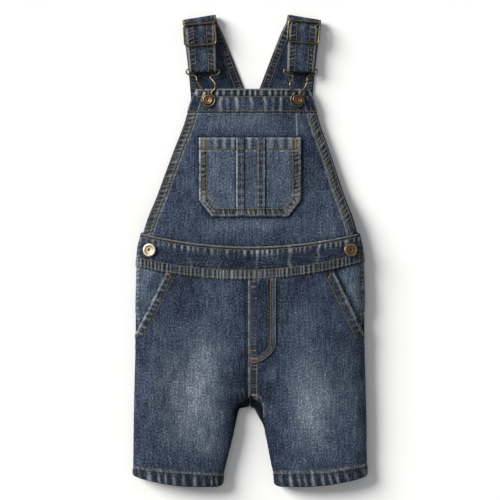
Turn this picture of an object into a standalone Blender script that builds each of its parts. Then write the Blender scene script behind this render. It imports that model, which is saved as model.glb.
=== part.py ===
"""Denim shortalls for a two-year-old, laid on their back with the straps folded over to the front.

Frame: the origin is at the middle of the box's underside. +Z points out of the front, +Y points
to the shoulder straps and +X to the right of someone who looks down at the front. "left" and
"right" are that person's too. Sizes are in millimetres, and become metres where a point is placed.
"""

import math
from collections import namedtuple

import bmesh
import bpy
from mathutils import Matrix, Vector

MM = 0.001

# Cloth
DENIM = 1.6
BAND_THICK = 2.6
STRAP_THICK = 2.0
FACING_THICK = 1.2
GAP = 0.3
LIE = 0.45
SIDES = {"left": -1, "right": 1}

# Sections of the body and legs: the flattened tube's half width and the height of its crown
BodyRow = namedtuple("BodyRow", "y half_width crown")
BODY = [
    BodyRow(y=60, half_width=120.0, crown=21.0),
    BodyRow(y=20, half_width=125.5, crown=23.0),
    BodyRow(y=0, half_width=129.5, crown=24.0),
    BodyRow(y=-20, half_width=131.0, crown=25.0),
    BodyRow(y=-60, half_width=131.8, crown=26.0),
    BodyRow(y=-100, half_width=131.8, crown=26.0),
    BodyRow(y=-140, half_width=132.8, crown=25.0),
    BodyRow(y=-200, half_width=134.0, crown=23.0),
    BodyRow(y=-240, half_width=134.4, crown=21.0),
    BodyRow(y=-272, half_width=134.9, crown=19.5),
]
SIDE_SEAM_Z = 7.5
SEAM_LIP = 1.0
SECTION_POWER = 2.3

# How much of the crown's height is left at the middle seam, front and back, down to the crotch
SeatRow = namedtuple("SeatRow", "y front back")
SEAT = [
    SeatRow(y=20, front=1.0, back=1.0),
    SeatRow(y=-60, front=0.97, back=1.0),
    SeatRow(y=-110, front=0.86, back=1.0),
    SeatRow(y=-140, front=0.66, back=1.0),
    SeatRow(y=-158, front=0.40, back=1.0),
    SeatRow(y=-168, front=0.18, back=0.9),
    SeatRow(y=-175, front=0.03, back=0.5),
    SeatRow(y=-181, front=0.0, back=0.12),
    SeatRow(y=-186, front=0.0, back=0.0),
    SeatRow(y=-272, front=0.0, back=0.0),
]

# The inner edges of the two legs, measured out from the middle seam, and how far the front panels
# stop short of them at the crotch
InseamRow = namedtuple("InseamRow", "y left right left_short right_short")
INSEAM = [
    InseamRow(y=-168, left=0.0, right=0.0, left_short=0.0, right_short=1.0),
    InseamRow(y=-172, left=0.2, right=0.2, left_short=4.0, right_short=6.0),
    InseamRow(y=-176, left=0.2, right=0.2, left_short=10.0, right_short=10.5),
    InseamRow(y=-180.5, left=0.8, right=0.6, left_short=13.0, right_short=12.0),
    InseamRow(y=-182.5, left=11.5, right=4.8, left_short=4.6, right_short=9.0),
    InseamRow(y=-187, left=13.6, right=7.2, left_short=3.4, right_short=7.2),
    InseamRow(y=-193, left=15.0, right=10.4, left_short=2.6, right_short=4.4),
    InseamRow(y=-202, left=16.9, right=15.3, left_short=1.8, right_short=1.4),
    InseamRow(y=-212, left=19.2, right=17.8, left_short=0.6, right_short=0.4),
    InseamRow(y=-222, left=21.4, right=19.8, left_short=0.0, right_short=0.0),
    InseamRow(y=-248, left=28.0, right=24.9, left_short=0.0, right_short=0.0),
    InseamRow(y=-260, left=30.8, right=27.6, left_short=0.0, right_short=0.0),
    InseamRow(y=-272, left=31.8, right=28.4, left_short=0.0, right_short=0.0),
]
CROTCH_RIM_Z = 5.4
CROTCH_RIM_RUN = (-185.0, -222.0)
BACK_CURL = 12.0
BACK_CURL_TURNS = [math.radians(degrees) for degrees in (90, 68, 45, 22, 0)]

# Rows of the leg panels, from 0 at the waist seam to 1 at the hem, and the distances from the
# middle at which a row's height is read for its inner and outer edge
LEG_ROWS = [0, 0.08, 0.16, 0.23, 0.28, 0.32, 0.35, 0.42, 0.49, 0.535, 0.565, 0.59, 0.605,
            0.62, 0.635, 0.65, 0.67, 0.70, 0.76, 0.85, 0.94, 0.955, 1.0]
LEG_COLUMNS = 14
INNER_READ = 10.0
OUTER_READ = 131.0
HEM_START = 0.945
HEM_LIFT = 0.7

# Waistband: the seam it shares with the legs, and its top edge
WAIST_SEAM_Y = -33.2
WAIST_SEAM_RISE = 17.0
WAIST_SEAM_TILT = 0.02
WAIST_TOP_Y = 3.6
WAIST_TOP_RISE = 16.3
WAIST_HALF = 129.0
WAIST_TOP_HALF = 125.0
WAIST_LIFT = 0.9
WAIST_ROWS = (0, 0.33, 0.67, 1)
WAIST_COLUMNS = 28
BACK_WAIST_TOP_Y = 20.0
BACK_WAIST_SEAM_Y = -16.0

# Hem of the legs
HEM_Y = -271.5
HEM_RISE = 10.5
HEM_RISE_SPAN = (50.0, 134.9)
HEM_RISE_POWER = 2.2

# Slanted hip pockets: the opening's ends, and the facing that shows beneath it
POCKET_TOP = (96.5, -27.0)
POCKET_FOOT = (131.6, -98.0)
FACING_SPAN = (0.004, 0.312)
FACING_ROWS = 10
FACING_TUCK = 9.0
FACING_REACH = 4.0
FACING_FADE = 11.0

# Mock fly: its rows are shares of its length, closer together round its foot
FLY_START_X = 1.2
FLY_WIDTH = 30.0
FLY_THICK = 0.8
FLY_ROWS = (0, 0.2, 0.4, 0.6, 0.74, 0.82, 0.89, 0.95, 0.985)
FLY_FOOT_Y = -129.0
FLY_ROUND = 28.0

# Bib: edge and crown of each section
BibRow = namedtuple("BibRow", "y half_width crown edge")
BIB = [
    BibRow(y=10, half_width=125.0, crown=23.5, edge=13.5),
    BibRow(y=20.5, half_width=122.6, crown=22.5, edge=12.5),
    BibRow(y=37, half_width=117.8, crown=21.5, edge=10.5),
    BibRow(y=64, half_width=107.8, crown=19.5, edge=8.5),
    BibRow(y=92, half_width=98.3, crown=17.5, edge=7.5),
    BibRow(y=120, half_width=88.3, crown=16.0, edge=7.0),
    BibRow(y=147, half_width=77.9, crown=14.5, edge=7.0),
    BibRow(y=174, half_width=70.0, crown=13.5, edge=7.0),
    BibRow(y=185, half_width=65.0, crown=13.0, edge=7.0),
]
BIB_TOP_Y = 185.0
BIB_LEAN = 3.0
BIB_BLEND = (18.0, 75.0)
BIB_POWER = 2.6
BIB_ROWS = 12
BIB_COLUMNS = 18
BIB_FOOT_HALF = 122.6
BIB_BAND_THICK = 1.2
BIB_BAND_ROWS = (158.5, 167.0, 176.0, BIB_TOP_Y)

# Patch pocket on the bib
PATCH_TOP_Y = 128.5
PATCH_FOOT_Y = 38.8
PATCH_HALF = 57.8
PATCH_FOOT_HALF = 43.5
PATCH_CHAMFER = 18.4
PATCH_STRIPS = {"left": (-15.4, -6.9), "right": (8.6, 16.8)}
PATCH_STRIP_THICK = 0.7

# Back of the bib, up to the fork of the straps
BackRow = namedtuple("BackRow", "y half_width")
BACK_BIB = [
    BackRow(y=20, half_width=119.0),
    BackRow(y=60, half_width=101.0),
    BackRow(y=100, half_width=86.0),
    BackRow(y=135, half_width=74.0),
    BackRow(y=161, half_width=69.0),
]
FORK_Y = 161.5

# Straps: each row gives the strap's two edges in plan, out from the strap axis
STRAP_AXIS_X = 2.0
StrapRow = namedtuple("StrapRow", "inner_x inner_y outer_x outer_y z")
BACK_STRAP = [
    StrapRow(inner_x=0.3, inner_y=FORK_Y, outer_x=69.0, outer_y=FORK_Y, z=1.0),
    StrapRow(inner_x=9.5, inner_y=186, outer_x=70.4, outer_y=186, z=1.0),
    StrapRow(inner_x=22.4, inner_y=220, outer_x=73.8, outer_y=219, z=1.0),
    StrapRow(inner_x=34.0, inner_y=250, outer_x=77.4, outer_y=246, z=1.0),
]
FOLD = StrapRow(inner_x=42.0, inner_y=271.5, outer_x=79.7, outer_y=265.3, z=0)
FOLD_RADIUS = 4.6
FRONT_Z = 1.0 + 2 * FOLD_RADIUS
FRONT_STRAP = [
    StrapRow(inner_x=43.9, inner_y=263.0, outer_x=75.6, outer_y=257.5, z=FRONT_Z),
    StrapRow(inner_x=43.8, inner_y=256.0, outer_x=75.2, outer_y=252.5, z=FRONT_Z + 1.4),
    StrapRow(inner_x=43.6, inner_y=250.5, outer_x=74.8, outer_y=248.0, z=FRONT_Z + 2.1),
    StrapRow(inner_x=43.3, inner_y=245.0, outer_x=74.4, outer_y=242.5, z=FRONT_Z + 1.4),
    StrapRow(inner_x=42.8, inner_y=238.5, outer_x=73.8, outer_y=236.0, z=FRONT_Z),
    StrapRow(inner_x=42.0, inner_y=224.0, outer_x=72.6, outer_y=222.0, z=FRONT_Z),
]
LOOP = StrapRow(inner_x=41.5, inner_y=205.0, outer_x=71.2, outer_y=204.4, z=0)
LOOP_RADIUS = 2.3
RETURN_Z = FRONT_Z - 2 * LOOP_RADIUS
RETURN_STRAP = [
    StrapRow(inner_x=41.9, inner_y=224.0, outer_x=72.6, outer_y=222.0, z=RETURN_Z),
    StrapRow(inner_x=42.2, inner_y=238.0, outer_x=74.0, outer_y=235.5, z=RETURN_Z),
]
ARC_STEPS = 8
STRAP_COLUMNS = 4

# Buckle: a wire frame over the strap with a middle bar beneath it, and how far up or down the
# strap each of the two has been slid, with the stretch of strap that passes through it
BUCKLE_CENTRE = (59.8, 249.4)
BUCKLE_SLID = {"left": -1.5, "right": 1.4}
BUCKLE_STRETCH = 5
BUCKLE_WIDTH = 36.0
BUCKLE_HEIGHT = 24.4
BUCKLE_CORNER = 3.6
BUCKLE_TURN = 4.4
WIRE_RADIUS = 1.0
BUCKLE_Z = FRONT_Z + STRAP_THICK / 2 + GAP + WIRE_RADIUS
BUCKLE_BAR_DROP = 2.5

# Hook: one closed wire, from the bar in the strap's loop round the bib button and back
HOOK_WIRE = 0.9
BIB_BUTTON = (51.0, 172.5)
BIB_BUTTON_LEAN = 3.3
BIB_BUTTON_RADIUS = 6.1
RING_RADIUS = 7.3
RING_OPEN = 35.0
ON_BAND = -1.0
HookRow = namedtuple("HookRow", "x y z")
HOOK_BAR_Z = FRONT_Z - LOOP_RADIUS
HOOK_SHOULDER = [
    HookRow(x=-3.4, y=8.6, z=ON_BAND),
    HookRow(x=-7.2, y=12.6, z=ON_BAND),
    HookRow(x=-9.6, y=18.4, z=ON_BAND),
    HookRow(x=-8.8, y=23.2, z=11.4),
    HookRow(x=-8.0, y=26.2, z=9.8),
    HookRow(x=-10.4, y=28.6, z=8.6),
    HookRow(x=-15.0, y=29.0, z=HOOK_BAR_Z),
    HookRow(x=-18.9, y=31.6, z=HOOK_BAR_Z),
    HookRow(x=-17.9, y=35.2, z=HOOK_BAR_Z),
    HookRow(x=-11.0, y=35.6, z=HOOK_BAR_Z),
]

# Buttons at the waist
WAIST_BUTTON = (114.5, -0.2)
WAIST_BUTTON_RADIUS = 7.8
ButtonRow = namedtuple("ButtonRow", "share z")
BUTTON_PROFILE = [
    ButtonRow(share=0.0, z=1.3),
    ButtonRow(share=0.13, z=1.3),
    ButtonRow(share=0.20, z=2.2),
    ButtonRow(share=0.56, z=2.4),
    ButtonRow(share=0.66, z=3.0),
    ButtonRow(share=0.86, z=3.0),
    ButtonRow(share=0.97, z=2.4),
    ButtonRow(share=1.0, z=1.7),
    ButtonRow(share=0.93, z=1.0),
    ButtonRow(share=0.45, z=0.8),
    ButtonRow(share=0.40, z=0.0),
    ButtonRow(share=0.0, z=0.0),
]
BUTTON_STEPS = 20

# Colours
DENIM_BLUE = (0.075, 0.105, 0.165, 1.0)
FACING_BLUE = (0.125, 0.165, 0.235, 1.0)
OLD_BRASS = (0.30, 0.22, 0.11, 1.0)


def read(table, column, y):
    """A table's column at height y, on a smooth curve through its rows, which run down in y."""
    rows = sorted(table, key=lambda row: row.y)
    if y <= rows[0].y:
        return getattr(rows[0], column)
    if y >= rows[-1].y:
        return getattr(rows[-1], column)
    k = max(i for i, row in enumerate(rows[:-1]) if row.y <= y)
    ys = [row.y for row in rows]
    values = [getattr(row, column) for row in rows]
    step = ys[k + 1] - ys[k]
    t = (y - ys[k]) / step
    rise = (values[k + 1] - values[k]) / step
    before = (values[k] - values[k - 1]) / (ys[k] - ys[k - 1]) if k else rise
    after = (values[k + 2] - values[k + 1]) / (ys[k + 2] - ys[k + 1]) if k + 2 < len(rows) else rise
    start = 0.0 if before * rise <= 0 else 2 * before * rise / (before + rise)
    end = 0.0 if after * rise <= 0 else 2 * after * rise / (after + rise)
    return (values[k] * (1 + 2 * t) * (1 - t) ** 2 + values[k + 1] * t * t * (3 - 2 * t)
            + step * (start * t * (1 - t) ** 2 - end * t * t * (1 - t)))


def smooth(low, high, value):
    """0 below low, 1 above high, and a soft step between."""
    t = min(1.0, max(0.0, (value - low) / (high - low)))
    return t * t * (3 - 2 * t)


def waist_seam(x):
    return WAIST_SEAM_Y + WAIST_SEAM_RISE * (x / WAIST_HALF) ** 2 + WAIST_SEAM_TILT * x


def waist_top(x):
    return WAIST_TOP_Y + WAIST_TOP_RISE * (x / WAIST_HALF) ** 2


def hem_line(x):
    out = max(0.0, abs(x) - HEM_RISE_SPAN[0]) / (HEM_RISE_SPAN[1] - HEM_RISE_SPAN[0])
    return HEM_Y + HEM_RISE * out ** HEM_RISE_POWER


def pocket_x(y):
    """The hip pocket opening's distance from the middle at height y."""
    share = (y - POCKET_TOP[1]) / (POCKET_FOOT[1] - POCKET_TOP[1])
    return POCKET_TOP[0] + share * (POCKET_FOOT[0] - POCKET_TOP[0])


def section_share(u, centre):
    """The share of the crown's height at u, from -1 at the inner edge to 1 at the side seam."""
    fall = 1.0 if u > 0 else 1.0 - centre
    return max(0.0, 1.0 - fall * abs(u) ** SECTION_POWER) ** (1 / SECTION_POWER)


def outward(side, u, share, centre, half, rise):
    """The section's outward direction at u, from the curve's own slopes."""
    across = side * math.copysign(abs(u) ** (SECTION_POWER - 1), u) / half
    if u < 0:
        across *= 1.0 - centre
    return Vector((across, 0, share ** (SECTION_POWER - 1) / rise)).normalized()


def rise_at(y):
    """The crown's height over the side seam's upright lip."""
    return read(BODY, "crown", y) - SIDE_SEAM_Z - SEAM_LIP


def arch(y, share):
    """Height of the front cloth for a share of the crown's height."""
    return SIDE_SEAM_Z + SEAM_LIP + rise_at(y) * share


def inner_edge(side, y):
    return read(INSEAM, "left" if side < 0 else "right", y)


def torso_height(x, y):
    """Height of the front cloth's outside over the body and the legs."""
    side = -1 if x < 0 else 1
    outer = read(BODY, "half_width", y)
    inner = inner_edge(side, y)
    u = (abs(x) - (outer + inner) / 2) / ((outer - inner) / 2)
    return arch(y, section_share(min(1.0, max(-1.0, u)), read(SEAT, "front", y)))


def bib_centre(y):
    return BIB_LEAN * (y - 20.0) / (BIB_TOP_Y - 20.0)


def bib_height(x, y):
    u = min(1.0, abs(x - bib_centre(y)) / read(BIB, "half_width", y))
    edge = read(BIB, "edge", y)
    return edge + (read(BIB, "crown", y) - edge) * (1 - u ** BIB_POWER)


def front_height(x, y):
    """Height of the front cloth's outside anywhere on the garment."""
    on_bib = smooth(BIB_BLEND[0], BIB_BLEND[1], y)
    if on_bib == 0.0:
        return torso_height(x, y)
    if on_bib == 1.0:
        return bib_height(x, y)
    return (1 - on_bib) * torso_height(x, y) + on_bib * bib_height(x, y)


def front_normal(x, y):
    """The front cloth's outward direction, from the height's slopes."""
    h = 0.5
    slope_x = (front_height(x + h, y) - front_height(x - h, y)) / (2 * h)
    slope_y = (front_height(x, y + h) - front_height(x, y - h)) / (2 * h)
    return Vector((-slope_x, -slope_y, 1.0)).normalized()


def on_front(x, y, lift=0.0):
    """A point on the front cloth, moved out along its normal by lift."""
    return Vector((x, y, front_height(x, y))) + front_normal(x, y) * lift


def row_y(v, x):
    """Height in plan of leg row v, from 0 at the waist seam to 1 at the hem."""
    return (1 - v) * (waist_seam(x) - GAP) + v * hem_line(x)


def leg_edges(side, v, short=True):
    """Inner and outer edge of a leg at row v."""
    y_in, y_out = row_y(v, side * INNER_READ), row_y(v, side * OUTER_READ)
    inner = inner_edge(side, y_in)
    if short:
        inner += read(INSEAM, "left_short" if side < 0 else "right_short", y_in)
    return max(inner, GAP / 2 + 0.05), read(BODY, "half_width", y_out)


def curl(distance, rim):
    """Height of the back cloth at a distance in from its edge: flat, then a round rise."""
    if distance >= BACK_CURL:
        return 0.0
    return rim * (1 - math.sqrt(max(0.0, 1 - ((BACK_CURL - distance) / BACK_CURL) ** 2)))


def material(name, colour, roughness, metallic):
    made = bpy.data.materials.new(name)
    made.use_nodes = True
    shader = made.node_tree.nodes["Principled BSDF"]
    shader.inputs["Base Color"].default_value = colour
    shader.inputs["Roughness"].default_value = roughness
    shader.inputs["Metallic"].default_value = metallic
    made.diffuse_color = colour
    return made


def place(name, mesh, finish, collection, smooth_angle=40):
    """A named object for a mesh, with its material."""
    mesh.materials.append(finish)
    mesh.shade_smooth()
    mesh.set_sharp_from_angle(angle=math.radians(smooth_angle))
    made = bpy.data.objects.new(name, mesh)
    collection.objects.link(made)
    return made


def open_surface(name, rows, faces_up=True):
    """A mesh over rows of points, all rows of one length, with its faces turned up or down."""
    shape = bmesh.new()
    verts = [[shape.verts.new(Vector(p) * MM) for p in row] for row in rows]
    for low, high in zip(verts, verts[1:]):
        for k in range(len(low) - 1):
            shape.faces.new((low[k], low[k + 1], high[k + 1], high[k]))
    shape.normal_update()
    total = sum((face.normal * face.calc_area() for face in shape.faces), Vector())
    if (total.z > 0) != faces_up:
        bmesh.ops.reverse_faces(shape, faces=shape.faces[:])
    mesh = bpy.data.meshes.new(name)
    shape.to_mesh(mesh)
    shape.free()
    return mesh


def cloth(name, rows, finish, collection, thick=DENIM, faces_up=True, centred=False):
    """A panel of cloth: the open surface of its outside, thickened inwards."""
    made = place(name, open_surface(name, rows, faces_up), finish, collection)
    wall = made.modifiers.new("Cloth", "SOLIDIFY")
    wall.thickness = thick * MM
    wall.offset = 0.0 if centred else -1.0
    wall.use_even_offset = True
    wall.use_quality_normals = True
    return made


def front_leg(name, side, finish, collection):
    """From the middle seam and inseam out to the pocket opening and the side seam."""
    rows = []
    open_before = True
    for v in LEG_ROWS:
        inner, outer = leg_edges(side, v)
        centre = read(SEAT, "front", row_y(v, side * INNER_READ))
        closed = smooth(0.0, 0.3, centre)
        start = inner + SEAM_LIP * closed
        middle, half = (start + outer) / 2, (outer - start) / 2
        edge_y = row_y(v, side * outer)
        limit = 1.0
        if edge_y > POCKET_FOOT[1]:
            limit = min(1.0, (pocket_x(row_y(v, side * pocket_x(edge_y))) - middle) / half)
        last = math.asin(limit)
        lift = HEM_LIFT if v > HEM_START else 0.0
        row = []
        for k in range(LEG_COLUMNS + 1):
            turn = -math.pi / 2 + (last + math.pi / 2) * k / LEG_COLUMNS
            u = math.sin(turn)
            x = side * (middle + half * u)
            y = row_y(v, x)
            share = section_share(u, centre)
            out = outward(side, u, share, centre, half, rise_at(y))
            row.append(Vector((x, y, arch(y, share))) + out * lift)
        inseam = Vector((side * inner, row_y(v, side * inner), row[0].z - SEAM_LIP * (1 - closed)))
        inseam.x -= side * lift
        if centre < 0.01:
            inseam.z = SIDE_SEAM_Z + GAP / 2
        if limit == 1.0:
            foot = SEAM_LIP / 2 if open_before else 0.0
            side_seam = Vector((row[-1].x, row[-1].y, SIDE_SEAM_Z + GAP / 2 + foot))
            open_before = False
        else:
            side_seam = row[-1] + (row[-1] - row[-2]).normalized() * SEAM_LIP
        rows.append([inseam] + row + [side_seam])
    return cloth(name, rows, finish, collection)


def back_leg(name, side, finish, collection):
    """Flat on its outside, and curled up to the side seam and the inseam."""
    rows = []
    for v in LEG_ROWS:
        inner, outer = leg_edges(side, v, short=False)
        y_in = row_y(v, side * INNER_READ)
        low = CROTCH_RIM_Z + (SIDE_SEAM_Z - CROTCH_RIM_Z) * smooth(*CROTCH_RIM_RUN, y_in)
        rim = (low - GAP / 2) * (1 - read(SEAT, "back", y_in))
        closed = 1 - smooth(0.0, 2.0, rim)
        start = inner + SEAM_LIP * closed
        flat_in, flat_out = start + BACK_CURL, outer - BACK_CURL
        places = [flat_in - BACK_CURL * math.sin(turn) for turn in BACK_CURL_TURNS]
        places += [flat_in + (flat_out - flat_in) * k / 4 for k in (1, 2, 3)]
        places += [flat_out + BACK_CURL * math.sin(turn) for turn in reversed(BACK_CURL_TURNS)]
        row = []
        for k, x in enumerate(places):
            if k < len(BACK_CURL_TURNS):
                z = curl(x - start, max(0.0, rim - SEAM_LIP * (1 - closed)))
            else:
                z = curl(outer - x, SIDE_SEAM_Z - SEAM_LIP)
            row.append(Vector((side * x, back_row_y(v, side * x), z)))
        inseam = Vector((side * inner, back_row_y(v, side * inner), rim))
        side_seam = Vector((row[-1].x, row[-1].y, SIDE_SEAM_Z - GAP / 2))
        rows.append([inseam] + row + [side_seam])
    return cloth(name, rows, finish, collection, faces_up=False)


def back_row_y(v, x):
    """Back rows start on a straight waist seam between the side seams, and share the hem."""
    straight = (waist_seam(WAIST_HALF) + waist_seam(-WAIST_HALF)) / 2 + WAIST_SEAM_TILT * x
    share = smooth(0.0, 0.45, v)
    return (1 - share) * ((1 - v) * (straight - GAP) + v * hem_line(x)) + share * row_y(v, x)


def facing(name, side, finish, collection):
    """The hip pocket's inner layer: it runs from under the front leg out to the side seam."""
    rows = []
    for i in range(FACING_ROWS + 1):
        v = FACING_SPAN[0] + (FACING_SPAN[1] - FACING_SPAN[0]) * i / FACING_ROWS
        edge_y = row_y(v, side * OUTER_READ)
        outer = read(BODY, "half_width", edge_y)
        middle = half = outer / 2
        start = max(0.05, (pocket_x(edge_y) - FACING_TUCK - middle) / half)
        row = []
        for k in range(9):
            turn = math.asin(start) + (math.pi / 2 - math.asin(start)) * k / 8
            u = math.sin(turn)
            x = side * (middle + half * u)
            y = row_y(v, x)
            bare = smooth(FACING_REACH, FACING_REACH + FACING_FADE, abs(x) - pocket_x(y))
            sunk = (DENIM + 3 * LIE) * (1 - bare)
            share = section_share(u, 1.0)
            out = outward(side, u, share, 1.0, half, rise_at(y))
            row.append(Vector((x, y, arch(y, share))) - out * sunk)
        row.append(Vector((row[-1].x, row[-1].y, SIDE_SEAM_Z + GAP / 2)))
        rows.append(row)
    return cloth(name, rows, finish, collection, thick=FACING_THICK)


def waistband_front(finish, collection):
    rows = []
    for share in WAIST_ROWS:
        row = []
        for k in range(WAIST_COLUMNS + 1):
            reach = math.sin(math.pi * (k / WAIST_COLUMNS - 0.5))
            foot_y = waist_seam(WAIST_HALF * reach)
            edge_y = (1 - share) * foot_y + share * waist_top(WAIST_TOP_HALF * reach)
            x = reach * read(BODY, "half_width", edge_y)
            y = (1 - share) * waist_seam(x) + share * (waist_top(x) - GAP)
            half = read(BODY, "half_width", y) / 2
            u = min(1.0, (abs(x) - half) / half)
            if k in (0, WAIST_COLUMNS):
                u = 1.0
            height = section_share(u, 1.0)
            out = outward(math.copysign(1, x), u, height, 1.0, half, rise_at(y))
            row.append(Vector((x, y, arch(y, height))) + out * WAIST_LIFT)
        ends = [Vector((row[k].x, row[k].y, SIDE_SEAM_Z + GAP / 2)) for k in (0, -1)]
        rows.append([ends[0]] + row + [ends[1]])
    return cloth("waistband_front", rows, finish, collection, thick=BAND_THICK)


def waistband_back(finish, collection):
    """Flat beneath, and curled up at both ends to meet the front's."""
    rows = []
    for share in (0, 0.5, 1):
        row = []
        for k in range(-7, 8):
            size = abs(k)
            middle_y = (1 - share) * BACK_WAIST_SEAM_Y + share * BACK_WAIST_TOP_Y
            outer = read(BODY, "half_width", middle_y)
            flat = outer - BACK_CURL
            x = flat * size / 3
            if size > 3:
                x = flat + BACK_CURL * math.sin(BACK_CURL_TURNS[7 - size])
            x = math.copysign(x, k)
            foot = back_row_y(0, x) + 2 * GAP
            y = (1 - share) * foot + share * BACK_WAIST_TOP_Y
            row.append(Vector((x, y, curl(outer - abs(x), SIDE_SEAM_Z - SEAM_LIP))))
        ends = [Vector((row[k].x, row[k].y, SIDE_SEAM_Z - GAP / 2)) for k in (0, -1)]
        rows.append([ends[0]] + row + [ends[1]])
    return cloth("waistband_back", rows, finish, collection, faces_up=False)


def bib(finish, collection):
    rows = []
    for i in range(BIB_ROWS + 1):
        v = i / BIB_ROWS
        row = []
        for k in range(BIB_COLUMNS + 1):
            reach = -1 + 2 * k / BIB_COLUMNS
            reach = math.copysign(1 - (1 - abs(reach)) ** 1.25, reach)
            level = (1 - v) * waist_top(BIB_FOOT_HALF * reach) + v * BIB_TOP_Y
            x = bib_centre(level) + reach * read(BIB, "half_width", level)
            y = (1 - v) * (waist_top(x) + GAP) + v * BIB_TOP_Y
            row.append(Vector((x, y, front_height(x, y))))
        rows.append(row)
    return cloth("bib", rows, finish, collection)


def bib_top_band(finish, collection):
    """The turned and stitched top edge of the bib."""
    rows = []
    for y in BIB_BAND_ROWS:
        half = read(BIB, "half_width", y)
        row = []
        for k in range(17):
            reach = -1 + k / 8
            x = bib_centre(y) + reach * half
            row.append(on_front(x, y, BIB_BAND_THICK + LIE))
        rows.append(row)
    return cloth("bib_top_band", rows, finish, collection, thick=BIB_BAND_THICK)


def bib_pocket(finish, collection):
    """A patch pocket with its two lower corners cut off."""
    levels = [PATCH_FOOT_Y, PATCH_FOOT_Y + PATCH_CHAMFER / 2, PATCH_FOOT_Y + PATCH_CHAMFER]
    levels += [levels[-1] + (PATCH_TOP_Y - levels[-1]) * k / 6 for k in range(1, 7)]
    rows = []
    for y in levels:
        cut = max(0.0, 1 - (y - PATCH_FOOT_Y) / PATCH_CHAMFER)
        half = PATCH_HALF - (PATCH_HALF - PATCH_FOOT_HALF) * cut
        rows.append([on_front(half * (-1 + k / 8), y, DENIM + LIE) for k in range(17)])
    return cloth("bib_pocket", rows, finish, collection)


def pocket_strip(name, edges, finish, collection):
    """A folded strip sewn down the bib pocket, from its top edge to its foot."""
    lift = DENIM + PATCH_STRIP_THICK + 2 * LIE
    rows = []
    for k in range(9):
        y = PATCH_FOOT_Y + (PATCH_TOP_Y - PATCH_FOOT_Y) * k / 8
        rows.append([on_front(x, y, lift) for x in (edges[0], sum(edges) / 2, edges[1])])
    return cloth(name, rows, finish, collection, thick=PATCH_STRIP_THICK)


def fly(finish, collection):
    """The mock fly's second layer, round at its foot."""
    rows = []
    for level in FLY_ROWS:
        row = []
        for k in range(6):
            y = waist_seam(0) - 2 * GAP + level * (FLY_FOOT_Y - waist_seam(0))
            below = max(0.0, FLY_FOOT_Y + FLY_ROUND - y) / FLY_ROUND
            width = (FLY_WIDTH - FLY_START_X) * math.sqrt(max(0.0, 1 - below ** 2))
            x = FLY_START_X + width * k / 5
            y += (waist_seam(x) - waist_seam(0)) * (1 - level)
            row.append(on_front(x, y, FLY_THICK + LIE))
        rows.append(row)
    return cloth("fly", rows, finish, collection, thick=FLY_THICK)


def back_bib(finish, collection):
    """The back panel above the waist, flat on the ground."""
    rows = []
    for k in range(9):
        y = BACK_WAIST_TOP_Y + GAP + (FORK_Y - 2 * GAP - BACK_WAIST_TOP_Y) * k / 8
        half = read(BACK_BIB, "half_width", y)
        lean = STRAP_AXIS_X * smooth(20, FORK_Y, y)
        rows.append([Vector((lean + half * (-1 + j / 4), y, 0)) for j in range(9)])
    return cloth("back_bib", rows, finish, collection, faces_up=False)


def turned(row, radius, toward, low_z):
    """Rows round a fold: the row's line is its outermost edge in plan."""
    along = Vector((row.outer_x - row.inner_x, row.outer_y - row.inner_y))
    out = Vector((-along.y, along.x)).normalized() * toward
    inset = radius + STRAP_THICK / 2
    made = []
    for k in range(ARC_STEPS + 1):
        turn = math.pi * k / ARC_STEPS
        shift = out * (radius * math.sin(turn) - inset)
        z = low_z + radius * (1 - math.cos(turn))
        made.append(StrapRow(row.inner_x + shift.x, row.inner_y + shift.y,
                             row.outer_x + shift.x, row.outer_y + shift.y, z))
    return made


def strap(name, side, slid, finish, collection):
    """Up the back, over the shoulder fold, through the buckle, round the hook and back up."""
    in_buckle = [row._replace(inner_y=row.inner_y + slid, outer_y=row.outer_y + slid)
                 for row in FRONT_STRAP[:BUCKLE_STRETCH]]
    path = BACK_STRAP + turned(FOLD, FOLD_RADIUS, 1, 1.0) + in_buckle
    path += FRONT_STRAP[BUCKLE_STRETCH:]
    path += list(reversed(turned(LOOP, LOOP_RADIUS, -1, RETURN_Z))) + RETURN_STRAP
    rows = []
    for row in path:
        inner = Vector((STRAP_AXIS_X + side * row.inner_x, row.inner_y, row.z))
        outer = Vector((STRAP_AXIS_X + side * row.outer_x, row.outer_y, row.z))
        rows.append([inner.lerp(outer, k / STRAP_COLUMNS) for k in range(STRAP_COLUMNS + 1)])
    return cloth(name, rows, finish, collection, thick=STRAP_THICK, centred=True)


def wire(name, points, radius, finish, collection, closed):
    """A round wire through its points, as a mesh with welded caps."""
    line = bpy.data.curves.new(name, "CURVE")
    line.dimensions = "3D"
    line.bevel_depth = radius * MM
    line.bevel_resolution = 2
    line.use_fill_caps = not closed
    spline = line.splines.new("POLY")
    spline.points.add(len(points) - 1)
    for slot, point in zip(spline.points, points):
        slot.co = (*(Vector(point) * MM), 1.0)
    spline.use_cyclic_u = closed
    guide = bpy.data.objects.new(name + "_line", line)
    collection.objects.link(guide)
    bpy.context.view_layer.update()
    mesh = bpy.data.meshes.new_from_object(guide.evaluated_get(bpy.context.evaluated_depsgraph_get()))
    shape = bmesh.new()
    shape.from_mesh(mesh)
    bmesh.ops.remove_doubles(shape, verts=shape.verts[:], dist=0.00001)
    bmesh.ops.recalc_face_normals(shape, faces=shape.faces[:])
    shape.to_mesh(mesh)
    shape.free()
    mesh.name = name
    mesh.materials.clear()
    bpy.data.objects.remove(guide)
    bpy.data.curves.remove(line)
    return place(name, mesh, finish, collection, smooth_angle=60)


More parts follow.
